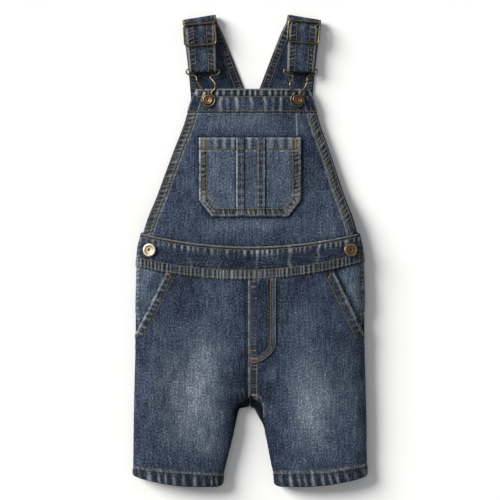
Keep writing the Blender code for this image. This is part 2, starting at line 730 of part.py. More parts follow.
def curve_through(points, per_span, closed):
    """Points along a smooth curve through the given ones."""
    count = len(points)
    made = []
    for k in range(count if closed else count - 1):
        if closed:
            a, b, c, d = (points[(k + j) % count] for j in (-1, 0, 1, 2))
        else:
            a, b, c, d = (points[min(count - 1, max(0, k + j))] for j in (-1, 0, 1, 2))
        for j in range(per_span):
            t = j / per_span
            made.append(0.5 * (2 * b + (c - a) * t + (2 * a - 5 * b + 4 * c - d) * t * t
                               + (3 * b - a - 3 * c + d) * t ** 3))
    if not closed:
        made.append(points[-1])
    return made


def buckle(name, side, slid, finish, collection):
    """A rounded wire frame, joined to its dropped middle bar."""
    half_w = BUCKLE_WIDTH / 2
    half_h = BUCKLE_HEIGHT / 2
    frame_line = []
    for corner, (sx, sy) in enumerate(((1, 1), (-1, 1), (-1, -1), (1, -1))):
        for step in range(5):
            turn = math.radians(90 * corner + 22.5 * step)
            frame_line.append(Vector((sx * (half_w - BUCKLE_CORNER) + BUCKLE_CORNER * math.cos(turn),
                                      sy * (half_h - BUCKLE_CORNER) + BUCKLE_CORNER * math.sin(turn), 0)))
    drop = BUCKLE_BAR_DROP
    bar_line = [Vector((-half_w, 0, 0)), Vector((-half_w, 0, -drop)),
                Vector((half_w, 0, -drop)), Vector((half_w, 0, 0))]
    turn = Matrix.Rotation(math.radians(-BUCKLE_TURN * side), 4, "Z")
    centre = Vector((STRAP_AXIS_X + side * BUCKLE_CENTRE[0], BUCKLE_CENTRE[1] + slid, BUCKLE_Z))
    frame_line = [centre + turn @ p for p in frame_line]
    bar_line = [centre + turn @ p for p in bar_line]
    made = wire(name, frame_line, WIRE_RADIUS, finish, collection, closed=True)
    bar = wire(name + "_bar", bar_line, WIRE_RADIUS * 0.9, finish, collection, closed=False)
    join = made.modifiers.new("Bar", "BOOLEAN")
    join.operation = "UNION"
    join.solver = "EXACT"
    join.object = bar
    bpy.context.view_layer.update()
    seen = made.evaluated_get(bpy.context.evaluated_depsgraph_get())
    joined = bpy.data.meshes.new_from_object(seen)
    made.modifiers.clear()
    made.data = joined
    bpy.data.objects.remove(bar)
    return made


def band_height(x, y):
    """Height of what a hook lies on: the bib's turned top edge."""
    return on_front(x, min(y, BIB_TOP_Y), BIB_BAND_THICK + LIE).z


def hook(name, side, finish, collection):
    """One closed wire: round the button, up both shoulders and through the strap's loop."""
    centre = Vector((BIB_BUTTON_LEAN + side * BIB_BUTTON[0], BIB_BUTTON[1], 0))
    lie = GAP + HOOK_WIRE + 0.15
    ring = []
    for k in range(13):
        turn = math.radians(90 + RING_OPEN + (360 - 2 * RING_OPEN) * k / 12)
        ring.append(Vector((centre.x + RING_RADIUS * math.cos(turn),
                            centre.y + RING_RADIUS * math.sin(turn), ON_BAND)))
    strap_x = STRAP_AXIS_X + side * (LOOP.inner_x + LOOP.outer_x) / 2
    left, right = [], []
    for row in HOOK_SHOULDER:
        centre_x = centre.x + (strap_x - centre.x) * smooth(12, 30, row.y)
        left.append(Vector((centre_x + row.x, centre.y + row.y, row.z)))
        right.append(Vector((centre_x - row.x, centre.y + row.y, row.z)))
    line = ring + right + list(reversed(left))
    for point in line:
        if point.z == ON_BAND:
            point.z = band_height(point.x, point.y) + lie
    return wire(name, curve_through(line, 2, closed=True), HOOK_WIRE, finish, collection, closed=True)


def button(name, x, y, radius, lift, finish, collection):
    """A turned tack button, tilted to lie on the cloth beneath it."""
    outline = bpy.data.meshes.new(name)
    points = [(row.share * radius * MM, 0, row.z * MM) for row in BUTTON_PROFILE]
    outline.from_pydata(points, [(k, k + 1) for k in range(len(points) - 1)], [])
    made = place(name, outline, finish, collection)
    turn = made.modifiers.new("Turned", "SCREW")
    turn.steps = BUTTON_STEPS
    turn.render_steps = BUTTON_STEPS
    turn.use_merge_vertices = True
    turn.merge_threshold = 0.00001
    made.location = on_front(x, y, lift) * MM
    made.rotation_euler = front_normal(x, y).to_track_quat("Z", "Y").to_euler()
    return made


def main():
    for item in list(bpy.data.objects):
        bpy.data.objects.remove(item)
    shortalls = bpy.data.collections.new("denim_shortalls")
    bpy.context.scene.collection.children.link(shortalls)
    denim = material("denim", DENIM_BLUE, 0.9, 0.0)
    pale_denim = material("denim_facing", FACING_BLUE, 0.9, 0.0)
    brass = material("brass", OLD_BRASS, 0.35, 1.0)

    waistband_front(denim, shortalls)
    waistband_back(denim, shortalls)
    bib(denim, shortalls)
    bib_top_band(denim, shortalls)
    bib_pocket(denim, shortalls)
    for label, edges in PATCH_STRIPS.items():
        pocket_strip("pocket_strip_" + label, edges, denim, shortalls)
    back_bib(denim, shortalls)
    fly(denim, shortalls)
    for label, side in SIDES.items():
        front_leg("front_leg_" + label, side, denim, shortalls)
        back_leg("back_leg_" + label, side, denim, shortalls)
        facing("hip_facing_" + label, side, pale_denim, shortalls)
        strap("strap_" + label, side, BUCKLE_SLID[label], denim, shortalls)
        buckle("buckle_" + label, side, BUCKLE_SLID[label], brass, shortalls)
        hook("hook_" + label, side, brass, shortalls)
        button("bib_button_" + label, BIB_BUTTON_LEAN + side * BIB_BUTTON[0], BIB_BUTTON[1],
               BIB_BUTTON_RADIUS, BIB_BAND_THICK + LIE + GAP, brass, shortalls)
        button("waist_button_" + label, side * WAIST_BUTTON[0], WAIST_BUTTON[1],
               WAIST_BUTTON_RADIUS, WAIST_LIFT + GAP, brass, shortalls)


main()
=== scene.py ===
"""Looks of the denim shortalls, laid on their back with the straps folded over to the front.

Sizes are in millimetres, as in the part's own source, and become metres where a mesh is made.
The forms repeat the part's tables, so that each shell lies on its solid. "left" and "right" are
those of someone who looks down at the front.
"""

import math
from collections import namedtuple

import bpy
import numpy as np
from mathutils import Matrix, Vector
from mathutils.bvhtree import BVHTree


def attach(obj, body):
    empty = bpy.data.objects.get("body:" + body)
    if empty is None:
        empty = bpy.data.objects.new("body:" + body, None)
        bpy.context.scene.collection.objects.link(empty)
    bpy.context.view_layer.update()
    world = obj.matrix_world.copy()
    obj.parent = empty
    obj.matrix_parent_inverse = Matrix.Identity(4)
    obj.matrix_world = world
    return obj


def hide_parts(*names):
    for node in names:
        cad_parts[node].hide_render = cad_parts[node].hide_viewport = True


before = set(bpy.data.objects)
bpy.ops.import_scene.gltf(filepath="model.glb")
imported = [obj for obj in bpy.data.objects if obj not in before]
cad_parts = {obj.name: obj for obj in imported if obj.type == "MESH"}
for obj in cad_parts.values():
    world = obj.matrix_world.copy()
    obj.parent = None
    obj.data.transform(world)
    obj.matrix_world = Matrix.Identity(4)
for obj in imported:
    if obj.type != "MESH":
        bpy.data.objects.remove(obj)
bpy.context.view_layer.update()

MM = 0.001

# Cloth
DENIM = 1.6
BAND_THICK = 2.6
STRAP_THICK = 2.0
FACING_THICK = 1.2
GAP = 0.3
LIE = 0.45
SIDES = {"left": -1, "right": 1}

# Sections of the body and legs: the flattened tube's half width and the height of its crown
BodyRow = namedtuple("BodyRow", "y half_width crown")
BODY = [BodyRow(*row) for row in (
    (60, 120.0, 21.0),
    (20, 125.5, 23.0),
    (0, 129.5, 24.0),
    (-20, 131.0, 25.0),
    (-60, 131.8, 26.0),
    (-100, 131.8, 26.0),
    (-140, 132.8, 25.0),
    (-200, 134.0, 23.0),
    (-240, 134.4, 21.0),
    (-272, 134.9, 19.5),
)]
SIDE_SEAM_Z = 7.5
SEAM_LIP = 1.0
SECTION_POWER = 2.3

# How much of the crown's height is left at the middle seam, front and back, down to the crotch
SeatRow = namedtuple("SeatRow", "y front back")
SEAT = [SeatRow(*row) for row in (
    (20, 1.0, 1.0),
    (-60, 0.97, 1.0),
    (-110, 0.86, 1.0),
    (-140, 0.66, 1.0),
    (-158, 0.40, 1.0),
    (-168, 0.18, 0.9),
    (-175, 0.03, 0.5),
    (-181, 0.0, 0.12),
    (-186, 0.0, 0.0),
    (-272, 0.0, 0.0),
)]

# The inner edges of the two legs, measured out from the middle seam, and how far the front panels
# stop short of them at the crotch
InseamRow = namedtuple("InseamRow", "y left right left_short right_short")
INSEAM = [InseamRow(*row) for row in (
    (-168, 0.0, 0.0, 0.0, 1.0),
    (-172, 0.2, 0.2, 4.0, 6.0),
    (-176, 0.2, 0.2, 10.0, 10.5),
    (-180.5, 0.8, 0.6, 13.0, 12.0),
    (-182.5, 11.5, 4.8, 4.6, 9.0),
    (-187, 13.6, 7.2, 3.4, 7.2),
    (-193, 15.0, 10.4, 2.6, 4.4),
    (-202, 16.9, 15.3, 1.8, 1.4),
    (-212, 19.2, 17.8, 0.6, 0.4),
    (-222, 21.4, 19.8, 0.0, 0.0),
    (-248, 28.0, 24.9, 0.0, 0.0),
    (-260, 30.8, 27.6, 0.0, 0.0),
    (-272, 31.8, 28.4, 0.0, 0.0),
)]
CROTCH_RIM_Z = 5.4
CROTCH_RIM_RUN = (-185.0, -222.0)
BACK_CURL = 12.0
INNER_READ = 10.0
OUTER_READ = 131.0
HEM_LIFT = 0.7

# Waistband and hem
WAIST_SEAM_Y = -33.2
WAIST_SEAM_RISE = 17.0
WAIST_SEAM_TILT = 0.02
WAIST_TOP_Y = 3.6
WAIST_TOP_RISE = 16.3
WAIST_HALF = 129.0
WAIST_TOP_HALF = 125.0
WAIST_LIFT = 0.9
BACK_WAIST_TOP_Y = 20.0
BACK_WAIST_SEAM_Y = -16.0
HEM_Y = -271.5
HEM_RISE = 10.5
HEM_RISE_SPAN = (50.0, 134.9)
HEM_RISE_POWER = 2.2

# Hip pockets and mock fly
POCKET_TOP = (96.5, -27.0)
POCKET_FOOT = (131.6, -98.0)
FACING_SPAN = (0.004, 0.312)
FACING_TUCK = 9.0
FACING_REACH = 4.0
FACING_FADE = 11.0
FLY_START_X = 1.2
FLY_WIDTH = 30.0
FLY_THICK = 0.8
FLY_FOOT_Y = -129.0
FLY_ROUND = 28.0

# Bib: edge and crown of each section
BibRow = namedtuple("BibRow", "y half_width crown edge")
BIB = [BibRow(*row) for row in (
    (10, 125.0, 23.5, 13.5),
    (20.5, 122.6, 22.5, 12.5),
    (37, 117.8, 21.5, 10.5),
    (64, 107.8, 19.5, 8.5),
    (92, 98.3, 17.5, 7.5),
    (120, 88.3, 16.0, 7.0),
    (147, 77.9, 14.5, 7.0),
    (174, 70.0, 13.5, 7.0),
    (185, 65.0, 13.0, 7.0),
)]
BIB_TOP_Y = 185.0
BIB_LEAN = 3.0
BIB_BLEND = (18.0, 75.0)
BIB_POWER = 2.6
BIB_FOOT_HALF = 122.6
BIB_BAND_THICK = 1.2
BIB_BAND_FOOT_Y = 158.5
PATCH_TOP_Y = 128.5
PATCH_FOOT_Y = 38.8
PATCH_HALF = 57.8
PATCH_FOOT_HALF = 43.5
PATCH_CHAMFER = 18.4
PATCH_STRIPS = {"left": (-15.4, -6.9), "right": (8.6, 16.8)}
PATCH_STRIP_THICK = 0.7

# Back of the bib, up to the fork of the straps
BackRow = namedtuple("BackRow", "y half_width")
BACK_BIB = [BackRow(*row) for row in (
    (20, 119.0),
    (60, 101.0),
    (100, 86.0),
    (135, 74.0),
    (161, 69.0),
)]
FORK_Y = 161.5

# Straps: each row gives the strap's two edges in plan, out from the strap axis
STRAP_AXIS_X = 2.0
StrapRow = namedtuple("StrapRow", "inner_x inner_y outer_x outer_y z")
BACK_STRAP = [StrapRow(*row) for row in (
    (0.3, FORK_Y, 69.0, FORK_Y, 1.0),
    (9.5, 186, 70.4, 186, 1.0),
    (22.4, 220, 73.8, 219, 1.0),
    (34.0, 250, 77.4, 246, 1.0),
)]
FOLD = StrapRow(inner_x=42.0, inner_y=271.5, outer_x=79.7, outer_y=265.3, z=0)
FOLD_RADIUS = 4.6
FRONT_Z = 1.0 + 2 * FOLD_RADIUS
FRONT_STRAP = [StrapRow(*row) for row in (
    (43.9, 263.0, 75.6, 257.5, FRONT_Z),
    (43.8, 256.0, 75.2, 252.5, FRONT_Z + 1.4),
    (43.6, 250.5, 74.8, 248.0, FRONT_Z + 2.1),
    (43.3, 245.0, 74.4, 242.5, FRONT_Z + 1.4),
    (42.8, 238.5, 73.8, 236.0, FRONT_Z),
    (42.0, 224.0, 72.6, 222.0, FRONT_Z),
)]
LOOP = StrapRow(inner_x=41.5, inner_y=205.0, outer_x=71.2, outer_y=204.4, z=0)
LOOP_RADIUS = 2.3
RETURN_Z = FRONT_Z - 2 * LOOP_RADIUS
RETURN_STRAP = [StrapRow(*row) for row in (
    (41.9, 224.0, 72.6, 222.0, RETURN_Z),
    (42.2, 238.0, 74.0, 235.5, RETURN_Z),
)]
ARC_STEPS = 8

# Buckle and hook wires
BUCKLE_CENTRE = (59.8, 249.4)
BUCKLE_SLID = {"left": -1.5, "right": 1.4}
BUCKLE_STRETCH = 5
BUCKLE_WIDTH = 36.0
BUCKLE_HEIGHT = 24.4
BUCKLE_CORNER = 3.6
BUCKLE_TURN = 4.4
WIRE_RADIUS = 1.0
BUCKLE_Z = FRONT_Z + STRAP_THICK / 2 + GAP + WIRE_RADIUS
BUCKLE_BAR_DROP = 2.5
HOOK_WIRE = 0.9
BIB_BUTTON = (51.0, 172.5)
BIB_BUTTON_LEAN = 3.3
BIB_BUTTON_RADIUS = 6.1
RING_RADIUS = 7.3
RING_OPEN = 35.0
ON_BAND = -1.0
HookRow = namedtuple("HookRow", "x y z")
HOOK_BAR_Z = FRONT_Z - LOOP_RADIUS
HOOK_SHOULDER = [HookRow(*row) for row in (
    (-3.4, 8.6, ON_BAND),
    (-7.2, 12.6, ON_BAND),
    (-9.6, 18.4, ON_BAND),
    (-8.8, 23.2, 11.4),
    (-8.0, 26.2, 9.8),
    (-10.4, 28.6, 8.6),
    (-15.0, 29.0, HOOK_BAR_Z),
    (-18.9, 31.6, HOOK_BAR_Z),
    (-17.9, 35.2, HOOK_BAR_Z),
    (-11.0, 35.6, HOOK_BAR_Z),
)]
WAIST_BUTTON = (114.5, -0.2)
WAIST_BUTTON_RADIUS = 7.8

# Tack buttons: the turned outline, and how dark and how coppery the metal is along it
ButtonRow = namedtuple("ButtonRow", "share z grime copper")
BUTTON_PROFILE = [ButtonRow(*row) for row in (
    (0.0, 1.15, 1.0, 0.9),
    (0.12, 1.2, 1.0, 0.9),
    (0.17, 1.9, 0.7, 1.0),
    (0.22, 2.25, 0.3, 1.0),
    (0.38, 2.2, 0.25, 0.7),
    (0.54, 2.3, 0.5, 0.5),
    (0.60, 2.35, 0.9, 0.4),
    (0.68, 2.85, 0.4, 0.2),
    (0.77, 3.0, 0.05, 0.1),
    (0.88, 2.9, 0.15, 0.1),
    (0.97, 2.4, 0.6, 0.3),
    (1.0, 1.8, 0.9, 0.3),
    (0.98, 1.3, 1.0, 0.3),
    (0.90, 1.0, 1.0, 0.3),
    (0.45, 0.8, 1.0, 0.3),
    (0.40, 0.0, 1.0, 0.3),
    (0.0, 0.0, 1.0, 0.3),
)]
BUTTON_STEPS = 72

# Soft spots in plan, added to each panel's own tone: mostly where the indigo has washed out, and
# some painted light that evens out how the lamp on the left lights the right flanks and the bib's
# sides
Spot = namedtuple("Spot", "x y across along turn amount")
SPOTS = [Spot(*row) for row in (
    (-50, -128, 24, 40, -6, 0.36),
    (-60, -184, 28, 42, 4, 0.50),
    (-46, -226, 22, 26, 0, 0.20),
    (-38, -70, 26, 34, 0, 0.13),
    (-96, -175, 24, 60, 0, 0.10),
    (-112, -150, 16, 60, 0, 0.05),
    (66, -150, 26, 38, 8, 0.26),
    (72, -194, 26, 44, -4, 0.42),
    (60, -90, 26, 34, 0, 0.14),
    # Painted light: lighter down the right leg's flank, which is turned away from the lamp
    (120, -170, 22, 70, 0, 0.16),
    (-10, -160, 13, 28, 0, -0.02),
    (14, -160, 13, 30, 0, -0.12),
    (-26, -215, 10, 40, 16, -0.02),
    (26, -215, 12, 40, -12, -0.06),
    (-80, -60, 22, 22, 20, -0.08),
    (2, 146, 56, 15, 0, 0.22),
    (5, 28, 70, 13, 0, 0.20),
    # Painted light and shade: darker on the left of the bib, lighter on its right and on the right
    # hip, offsetting how the lamp on the left lights them
    (-78, 70, 18, 50, -18, -0.03),
    (84, 60, 18, 50, 18, 0.10),
    (118, -62, 16, 40, 0, 0.12),
)]

# Folds and creases laid over all the layers: ridges are positive and troughs negative
Crease = namedtuple("Crease", "x y to_x to_y width height bow")
CREASES = [Crease(*row) for row in (
    (-5, -170, -44, -126, 6.0, 1.0, 5),
    (-10, -181, -58, -152, 7.0, -1.0, 4),
    (-18, -200, -66, -212, 8.0, 0.8, -3),
    (-52, -104, -58, -222, 15.0, 0.9, 6),
    (-92, -104, -86, -230, 12.0, -0.9, -6),
    (-118, -128, -112, -228, 8.0, 0.7, 3),
    (8, -168, 42, -120, 6.0, 0.9, -5),
    (13, -184, 58, -160, 7.0, -0.9, -5),
    (20, -207, 62, -224, 8.0, 0.8, 4),
    (62, -100, 70, -226, 15.0, 0.8, -5),
    (99, -116, 94, -236, 10.0, -0.8, 5),
    (123, -150, 122, -240, 2.2, 0.5, 0),
    (-72, -34, -58, -62, 4.0, -0.7, 2),
    (-46, -36, -36, -58, 3.5, 0.6, -2),
    (-16, -36, -7, -47, 2.4, 0.6, 1),
    (62, -34, 52, -64, 4.0, -0.6, -2),
    (88, -40, 76, -84, 6.0, 0.6, 3),
    (-52, 156, -76, 92, 8.0, 0.7, 4),
    (58, 156, 82, 96, 8.0, 0.7, -4),
    (53, 159, 54, 131, 1.6, 0.5, 0),
    (-96, 44, -70, 88, 7.0, -0.7, -3),
    (98, 40, 76, 82, 7.0, -0.7, 3),
    (-60, 27, 54, 29, 6.0, 0.6, -5),
)]

# Sewing lines
HEM_STITCH = {
    "left": [(-137.5, -250.6), (-134.6, -251.0), (-87.4, -255.3), (-29.9, -259.1), (-26, -259.3)],
    "right": [(22, -256.8), (24.7, -256.7), (88.3, -255.3), (133.2, -247.9), (137.5, -247.2)],
}
FLY_INNER = [(23.7, -32), (23.7, -104.6), (22.3, -109.5), (20.2, -112.8), (17.3, -115.7),
             (13.4, -119.4), (9.1, -121.9), (4.6, -122.7), (0.9, -122.6)]
FLY_OUTER = [(29.3, -32), (29.3, -106.0), (27.8, -112.4), (24.4, -117.6), (19.6, -121.9),
             (14.4, -125.9), (8.5, -128.2), (4.4, -129.2), (0.9, -129.4)]
THREAD_PITCH = 2.6
THREAD_LENGTH = 2.1
THREAD_RADIUS = 0.34

# Thread tones
GOLD = 0.35
TAN = 0.12
ORANGE = 0.85


def blend(values, tangents, k, length, t):
    """A smooth curve from value k to the next one, at share t of the stretch between them."""
    return (values[k] * (1 + 2 * t) * (1 - t) ** 2 + values[k + 1] * t * t * (3 - 2 * t)
            + length * (tangents[k] * t * (1 - t) ** 2 - tangents[k + 1] * t * t * (1 - t)))


def run_along(line):
    """How far along a line each of its points lies."""
    return np.concatenate([[0], np.cumsum(np.linalg.norm(np.diff(line, axis=0), axis=1))])


def read(table, column, y):
    """A table's column at heights y, on a smooth curve through its rows."""
    rows = sorted(table, key=lambda row: row.y)
    ys = np.array([row.y for row in rows], float)
    values = np.array([getattr(row, column) for row in rows], float)
    steps = np.diff(ys)
    slopes = np.diff(values) / steps
    before, after = slopes[:-1], slopes[1:]
    total = np.where(before * after > 0, before + after, 1.0)
    inner = np.where(before * after > 0, 2 * before * after / total, 0.0)
    tangents = np.concatenate([slopes[:1], inner, slopes[-1:]])
    y = np.clip(np.asarray(y, float), ys[0], ys[-1])
    k = np.clip(np.searchsorted(ys, y, side="right") - 1, 0, len(rows) - 2)
    return blend(values, tangents, k, steps[k], (y - ys[k]) / steps[k])


def smooth(low, high, value):
    """0 below low, 1 above high, and a soft step between."""
    t = np.clip((np.asarray(value, float) - low) / (high - low), 0.0, 1.0)
    return t * t * (3 - 2 * t)


def bump(value, width):
    """A soft hump round 0."""
    return np.exp(-(value / width) ** 2)


def waist_seam(x):
    return WAIST_SEAM_Y + WAIST_SEAM_RISE * (x / WAIST_HALF) ** 2 + WAIST_SEAM_TILT * x


def waist_top(x):
    return WAIST_TOP_Y + WAIST_TOP_RISE * (x / WAIST_HALF) ** 2


def hem_line(x):
    out = np.maximum(0.0, np.abs(x) - HEM_RISE_SPAN[0]) / (HEM_RISE_SPAN[1] - HEM_RISE_SPAN[0])
    return HEM_Y + HEM_RISE * out ** HEM_RISE_POWER


def pocket_x(y):
    """The hip pocket opening's distance from the middle at height y."""
    share = (y - POCKET_TOP[1]) / (POCKET_FOOT[1] - POCKET_TOP[1])
    return POCKET_TOP[0] + share * (POCKET_FOOT[0] - POCKET_TOP[0])


def section_share(u, centre):
    """The share of the crown's height at u, from -1 at the inner edge to 1 at the side seam."""
    fall = np.where(u > 0, 1.0, 1.0 - centre)
    return np.maximum(0.0, 1.0 - fall * np.abs(u) ** SECTION_POWER) ** (1 / SECTION_POWER)


def arch(y, share):
    """Height of the front cloth for a share of the crown's height."""
    rise = read(BODY, "crown", y) - SIDE_SEAM_Z - SEAM_LIP
    return SIDE_SEAM_Z + SEAM_LIP + rise * share


def inner_edge(x, y):
    return np.where(np.asarray(x) < 0, read(INSEAM, "left", y), read(INSEAM, "right", y))


def front_short(side, y):
    """How far the front panel stops short of the inner edge."""
    return read(INSEAM, "left_short" if side < 0 else "right_short", y)


def torso_height(x, y):
    """Height of the front cloth's outside over the body and the legs."""
    outer = read(BODY, "half_width", y)
    inner = inner_edge(x, y)
    u = np.clip((np.abs(x) - (outer + inner) / 2) / ((outer - inner) / 2), -1.0, 1.0)
    return arch(y, section_share(u, read(SEAT, "front", y)))


def bib_centre(y):
    return BIB_LEAN * (y - 20.0) / (BIB_TOP_Y - 20.0)


def bib_height(x, y):
    u = np.minimum(1.0, np.abs(x - bib_centre(y)) / read(BIB, "half_width", y))
    edge = read(BIB, "edge", y)
    return edge + (read(BIB, "crown", y) - edge) * (1 - u ** BIB_POWER)


def front_height(x, y):
    """Height of the front cloth's outside anywhere on the garment."""
    on_bib = smooth(BIB_BLEND[0], BIB_BLEND[1], y)
    return (1 - on_bib) * torso_height(x, y) + on_bib * bib_height(x, y)


def unit(vectors):
    return vectors / np.maximum(np.linalg.norm(vectors, axis=-1, keepdims=True), 1e-9)


def on_front(x, y, lift=0.0):
    """Points on the front cloth, moved out along its normal by lift."""
    x, y = np.broadcast_arrays(np.asarray(x, float), np.asarray(y, float))
    h = 0.5
    slope_x = (front_height(x + h, y) - front_height(x - h, y)) / (2 * h)
    slope_y = (front_height(x, y + h) - front_height(x, y - h)) / (2 * h)
    out = unit(np.stack([-slope_x, -slope_y, np.ones_like(x)], -1))
    return np.stack([x, y, front_height(x, y)], -1) + out * lift


def row_y(v, x):
    """Height in plan of leg row v, from 0 at the waist seam to 1 at the hem."""
    return (1 - v) * (waist_seam(x) - GAP) + v * hem_line(x)


def drift(s, seed):
    """Smooth random values from -1 to 1 along a line, one for each unit of s."""
    values = np.random.default_rng(seed).uniform(-1, 1, 256)
    whole = np.floor(s).astype(int)
    t = s - whole
    t = t * t * (3 - 2 * t)
    return values[whole % 256] * (1 - t) + values[(whole + 1) % 256] * t


def cloud(x, y, size, seed):
    """Smooth random values from -1 to 1 over the plan, in patches of a size."""
    values = np.random.default_rng(seed).uniform(-1, 1, (64, 64))
    i, j = np.floor(x / size).astype(int), np.floor(y / size).astype(int)
    s, t = x / size - i, y / size - j
    s, t = s * s * (3 - 2 * s), t * t * (3 - 2 * t)
    low = values[i % 64, j % 64] * (1 - s) + values[(i + 1) % 64, j % 64] * s
    high = values[i % 64, (j + 1) % 64] * (1 - s) + values[(i + 1) % 64, (j + 1) % 64] * s
    return low * (1 - t) + high * t


def ladder(s, period, seed):
    """Uneven puckers along a seam: near 1 on a crest and near 0 in a trough."""
    beat = s / period + 0.46 * drift(s / period / 1.5, seed)
    size = 0.62 + 0.38 * drift(s / period / 1.2 + 40, seed + 1)
    return 0.5 + 0.5 * size * np.cos(2 * np.pi * beat)


def along(x, y, line):
    """How far along a line of points each place in plan lies, and how far to its left."""
    nearest = np.full(np.shape(x), np.inf)
    run, left = np.zeros(np.shape(x)), np.zeros(np.shape(x))
    start = 0.0
    for (x0, y0), (x1, y1) in zip(line, line[1:]):
        length = math.hypot(x1 - x0, y1 - y0)
        ux, uy = (x1 - x0) / length, (y1 - y0) / length
        s = np.clip((x - x0) * ux + (y - y0) * uy, 0, length)
        dx, dy = x - (x0 + s * ux), y - (y0 + s * uy)
        gap = np.hypot(dx, dy)
        closer = gap < nearest
        nearest = np.where(closer, gap, nearest)
        run = np.where(closer, start + s, run)
        left = np.where(closer, np.sign(ux * dy - uy * dx) * gap, left)
        start += length
    return run, left


def clear_of_metal(x, y):
    """1 on open cloth, and 0 where a button or hook lies on it."""
    free = np.ones(np.shape(x))
    for side in SIDES.values():
        for cx, cy, reach in ((BIB_BUTTON_LEAN + side * BIB_BUTTON[0], BIB_BUTTON[1], 11.0),
                              (side * WAIST_BUTTON[0], WAIST_BUTTON[1], 10.0)):
            free = free * smooth(reach, reach + 9.0, np.hypot(x - cx, y - cy))
    return free


def sway(x, y):
    """The lie of the cloth: slow waves and the main creases, the same for all its layers."""
    lift = 0.5 * cloud(x, y, 44.0, 3) + 0.22 * cloud(x, y, 19.0, 5)
    for crease in CREASES:
        dx, dy = crease.to_x - crease.x, crease.to_y - crease.y
        length = math.hypot(dx, dy)
        t = ((x - crease.x) * dx + (y - crease.y) * dy) / length ** 2
        aside = ((y - crease.y) * dx - (x - crease.x) * dy) / length
        aside = aside - crease.bow * 4 * t * (1 - t)
        ends = smooth(-0.08, 0.25, t) * (1 - smooth(0.7, 1.08, t))
        lift = lift + crease.height * bump(aside, crease.width) * ends
    return lift * clear_of_metal(x, y)


def spots_at(x, y):
    total = 0.0
    for spot in SPOTS:
        turn = math.radians(spot.turn)
        dx, dy = x - spot.x, y - spot.y
        across = dx * math.cos(turn) + dy * math.sin(turn)
        down = dy * math.cos(turn) - dx * math.sin(turn)
        total = total + spot.amount * bump(across, spot.across) * bump(down, spot.along)
    return total


class Cloth:
    """A panel as a grid of points, with what is raised, washed out, worn and painted in light and
    shade on it.
    """

    def __init__(self, points, tone, swayed=True, thick=DENIM, up=True):
        self.points = points
        self.x, self.y = points[..., 0], points[..., 1]
        self.thick = thick
        normals = unit(np.cross(np.gradient(points, axis=1), np.gradient(points, axis=0)))
        self.turned = (normals[..., 2].mean() > 0) != up
        self.normals = -normals if self.turned else normals
        self.lift = sway(self.x, self.y) if swayed else np.zeros(self.x.shape)
        self.under = None
        self.tone_and_painted_light = tone + (spots_at(self.x, self.y) if swayed else 0.0)
        self.tone_and_painted_light += 0.06 * cloud(self.x, self.y, 31.0, 11)
        self.tone_and_painted_light += 0.07 * cloud(self.x, self.y, 8.0, 13)
        self.rub = np.zeros(self.x.shape)
        self.warm = np.zeros(self.x.shape)
        across = np.linalg.norm(np.diff(points, axis=1), axis=-1)
        run = np.concatenate([np.zeros((len(points), 1)), np.cumsum(across, axis=1)], 1)
        middle = points.shape[1] // 2
        way = np.sign(self.x[:, -1:] - self.x[:, :1])
        centre = slice(middle, middle + 1)
        self.grain = np.stack([way * (run - run[:, centre]) + self.x[:, centre], self.y], -1)

    def strip(self, s, d, width, lift, wave, period, seed, slant=0.0, worn=0.5, edge=0.6,
              dark=0.16, warm=0.75):
        """A folded or felled strip, d in from its edge and s along it: raised, uneven, worn."""
        inside = smooth(-0.8, 0.4, d) * (1 - smooth(width - 0.4, width + 1.0, d))
        crest = ladder(s + slant * d, period, seed)
        belly = np.sin(np.pi * np.clip(d / width, 0.06, 0.94)) ** 0.7
        self.lift += inside * (lift + wave * (crest - 0.5) * belly)
        self.rub += inside * worn * crest ** 2 * belly
        broken = 0.55 + 0.45 * drift(s / 3.1, seed + 3)
        self.rub += edge * bump(d - 0.45, 0.62) * broken * (0.6 + 0.4 * crest)
        self.tone_and_painted_light -= inside * dark * (0.25 + 1.1 * (1 - crest))
        self.warm += warm * inside
        self.groove(d - width, 0.9, 0.25)

    def bars(self, area, crest, lift, rub, power=2, dark=0.0, warm=0.0):
        """Bars over an area: raised and worn on their crests, darker in their troughs."""
        self.lift += area * lift * (crest - 0.5)
        self.rub += area * rub * crest ** power
        self.tone_and_painted_light -= area * dark * (1 - crest)
        self.warm += area * warm

    def groove(self, d, width, depth):
        """A line where stitches pull the cloth down and it hasn't worn."""
        self.lift -= depth * bump(d, width)
        self.tone_and_painted_light -= 0.14 * bump(d, width * 1.2)
        self.warm += 0.6 * bump(d, width * 1.6)

    def puckers(self, s, d, reach, wave, period, seed, slant=0.0, worn=0.35, shade=0.10):
        """Puckers that hang from a seam at d = 0 and fade out over a reach."""
        fade = np.where(d > -0.5, np.exp(-(np.maximum(d, 0) / reach) ** 1.5), 0.0)
        crest = ladder(s + slant * d, period, seed)
        fade = fade * (0.75 + 0.25 * drift(s / period / 2.2, seed + 7))
        self.lift += wave * (crest - 0.5) * fade
        self.rub += worn * crest ** 3 * fade
        self.tone_and_painted_light -= shade * (1 - crest) * fade


def joined(parts):
    """The points and quads of several parts as those of one."""
    points, quads, start = [], [], 0
    for part_points, part_quads in parts:
        points.append(part_points)
        quads.append(part_quads + start)
        start += len(part_points)
    return np.concatenate(points), np.concatenate(quads)


def fan(start, sides, flip):
    """Quads that close a ring of points."""
    caps = [[start, start + k, start + k + 1, start + k + 2] for k in range(1, sides - 2, 2)]
    return [cap[::-1] if flip else cap for cap in caps]


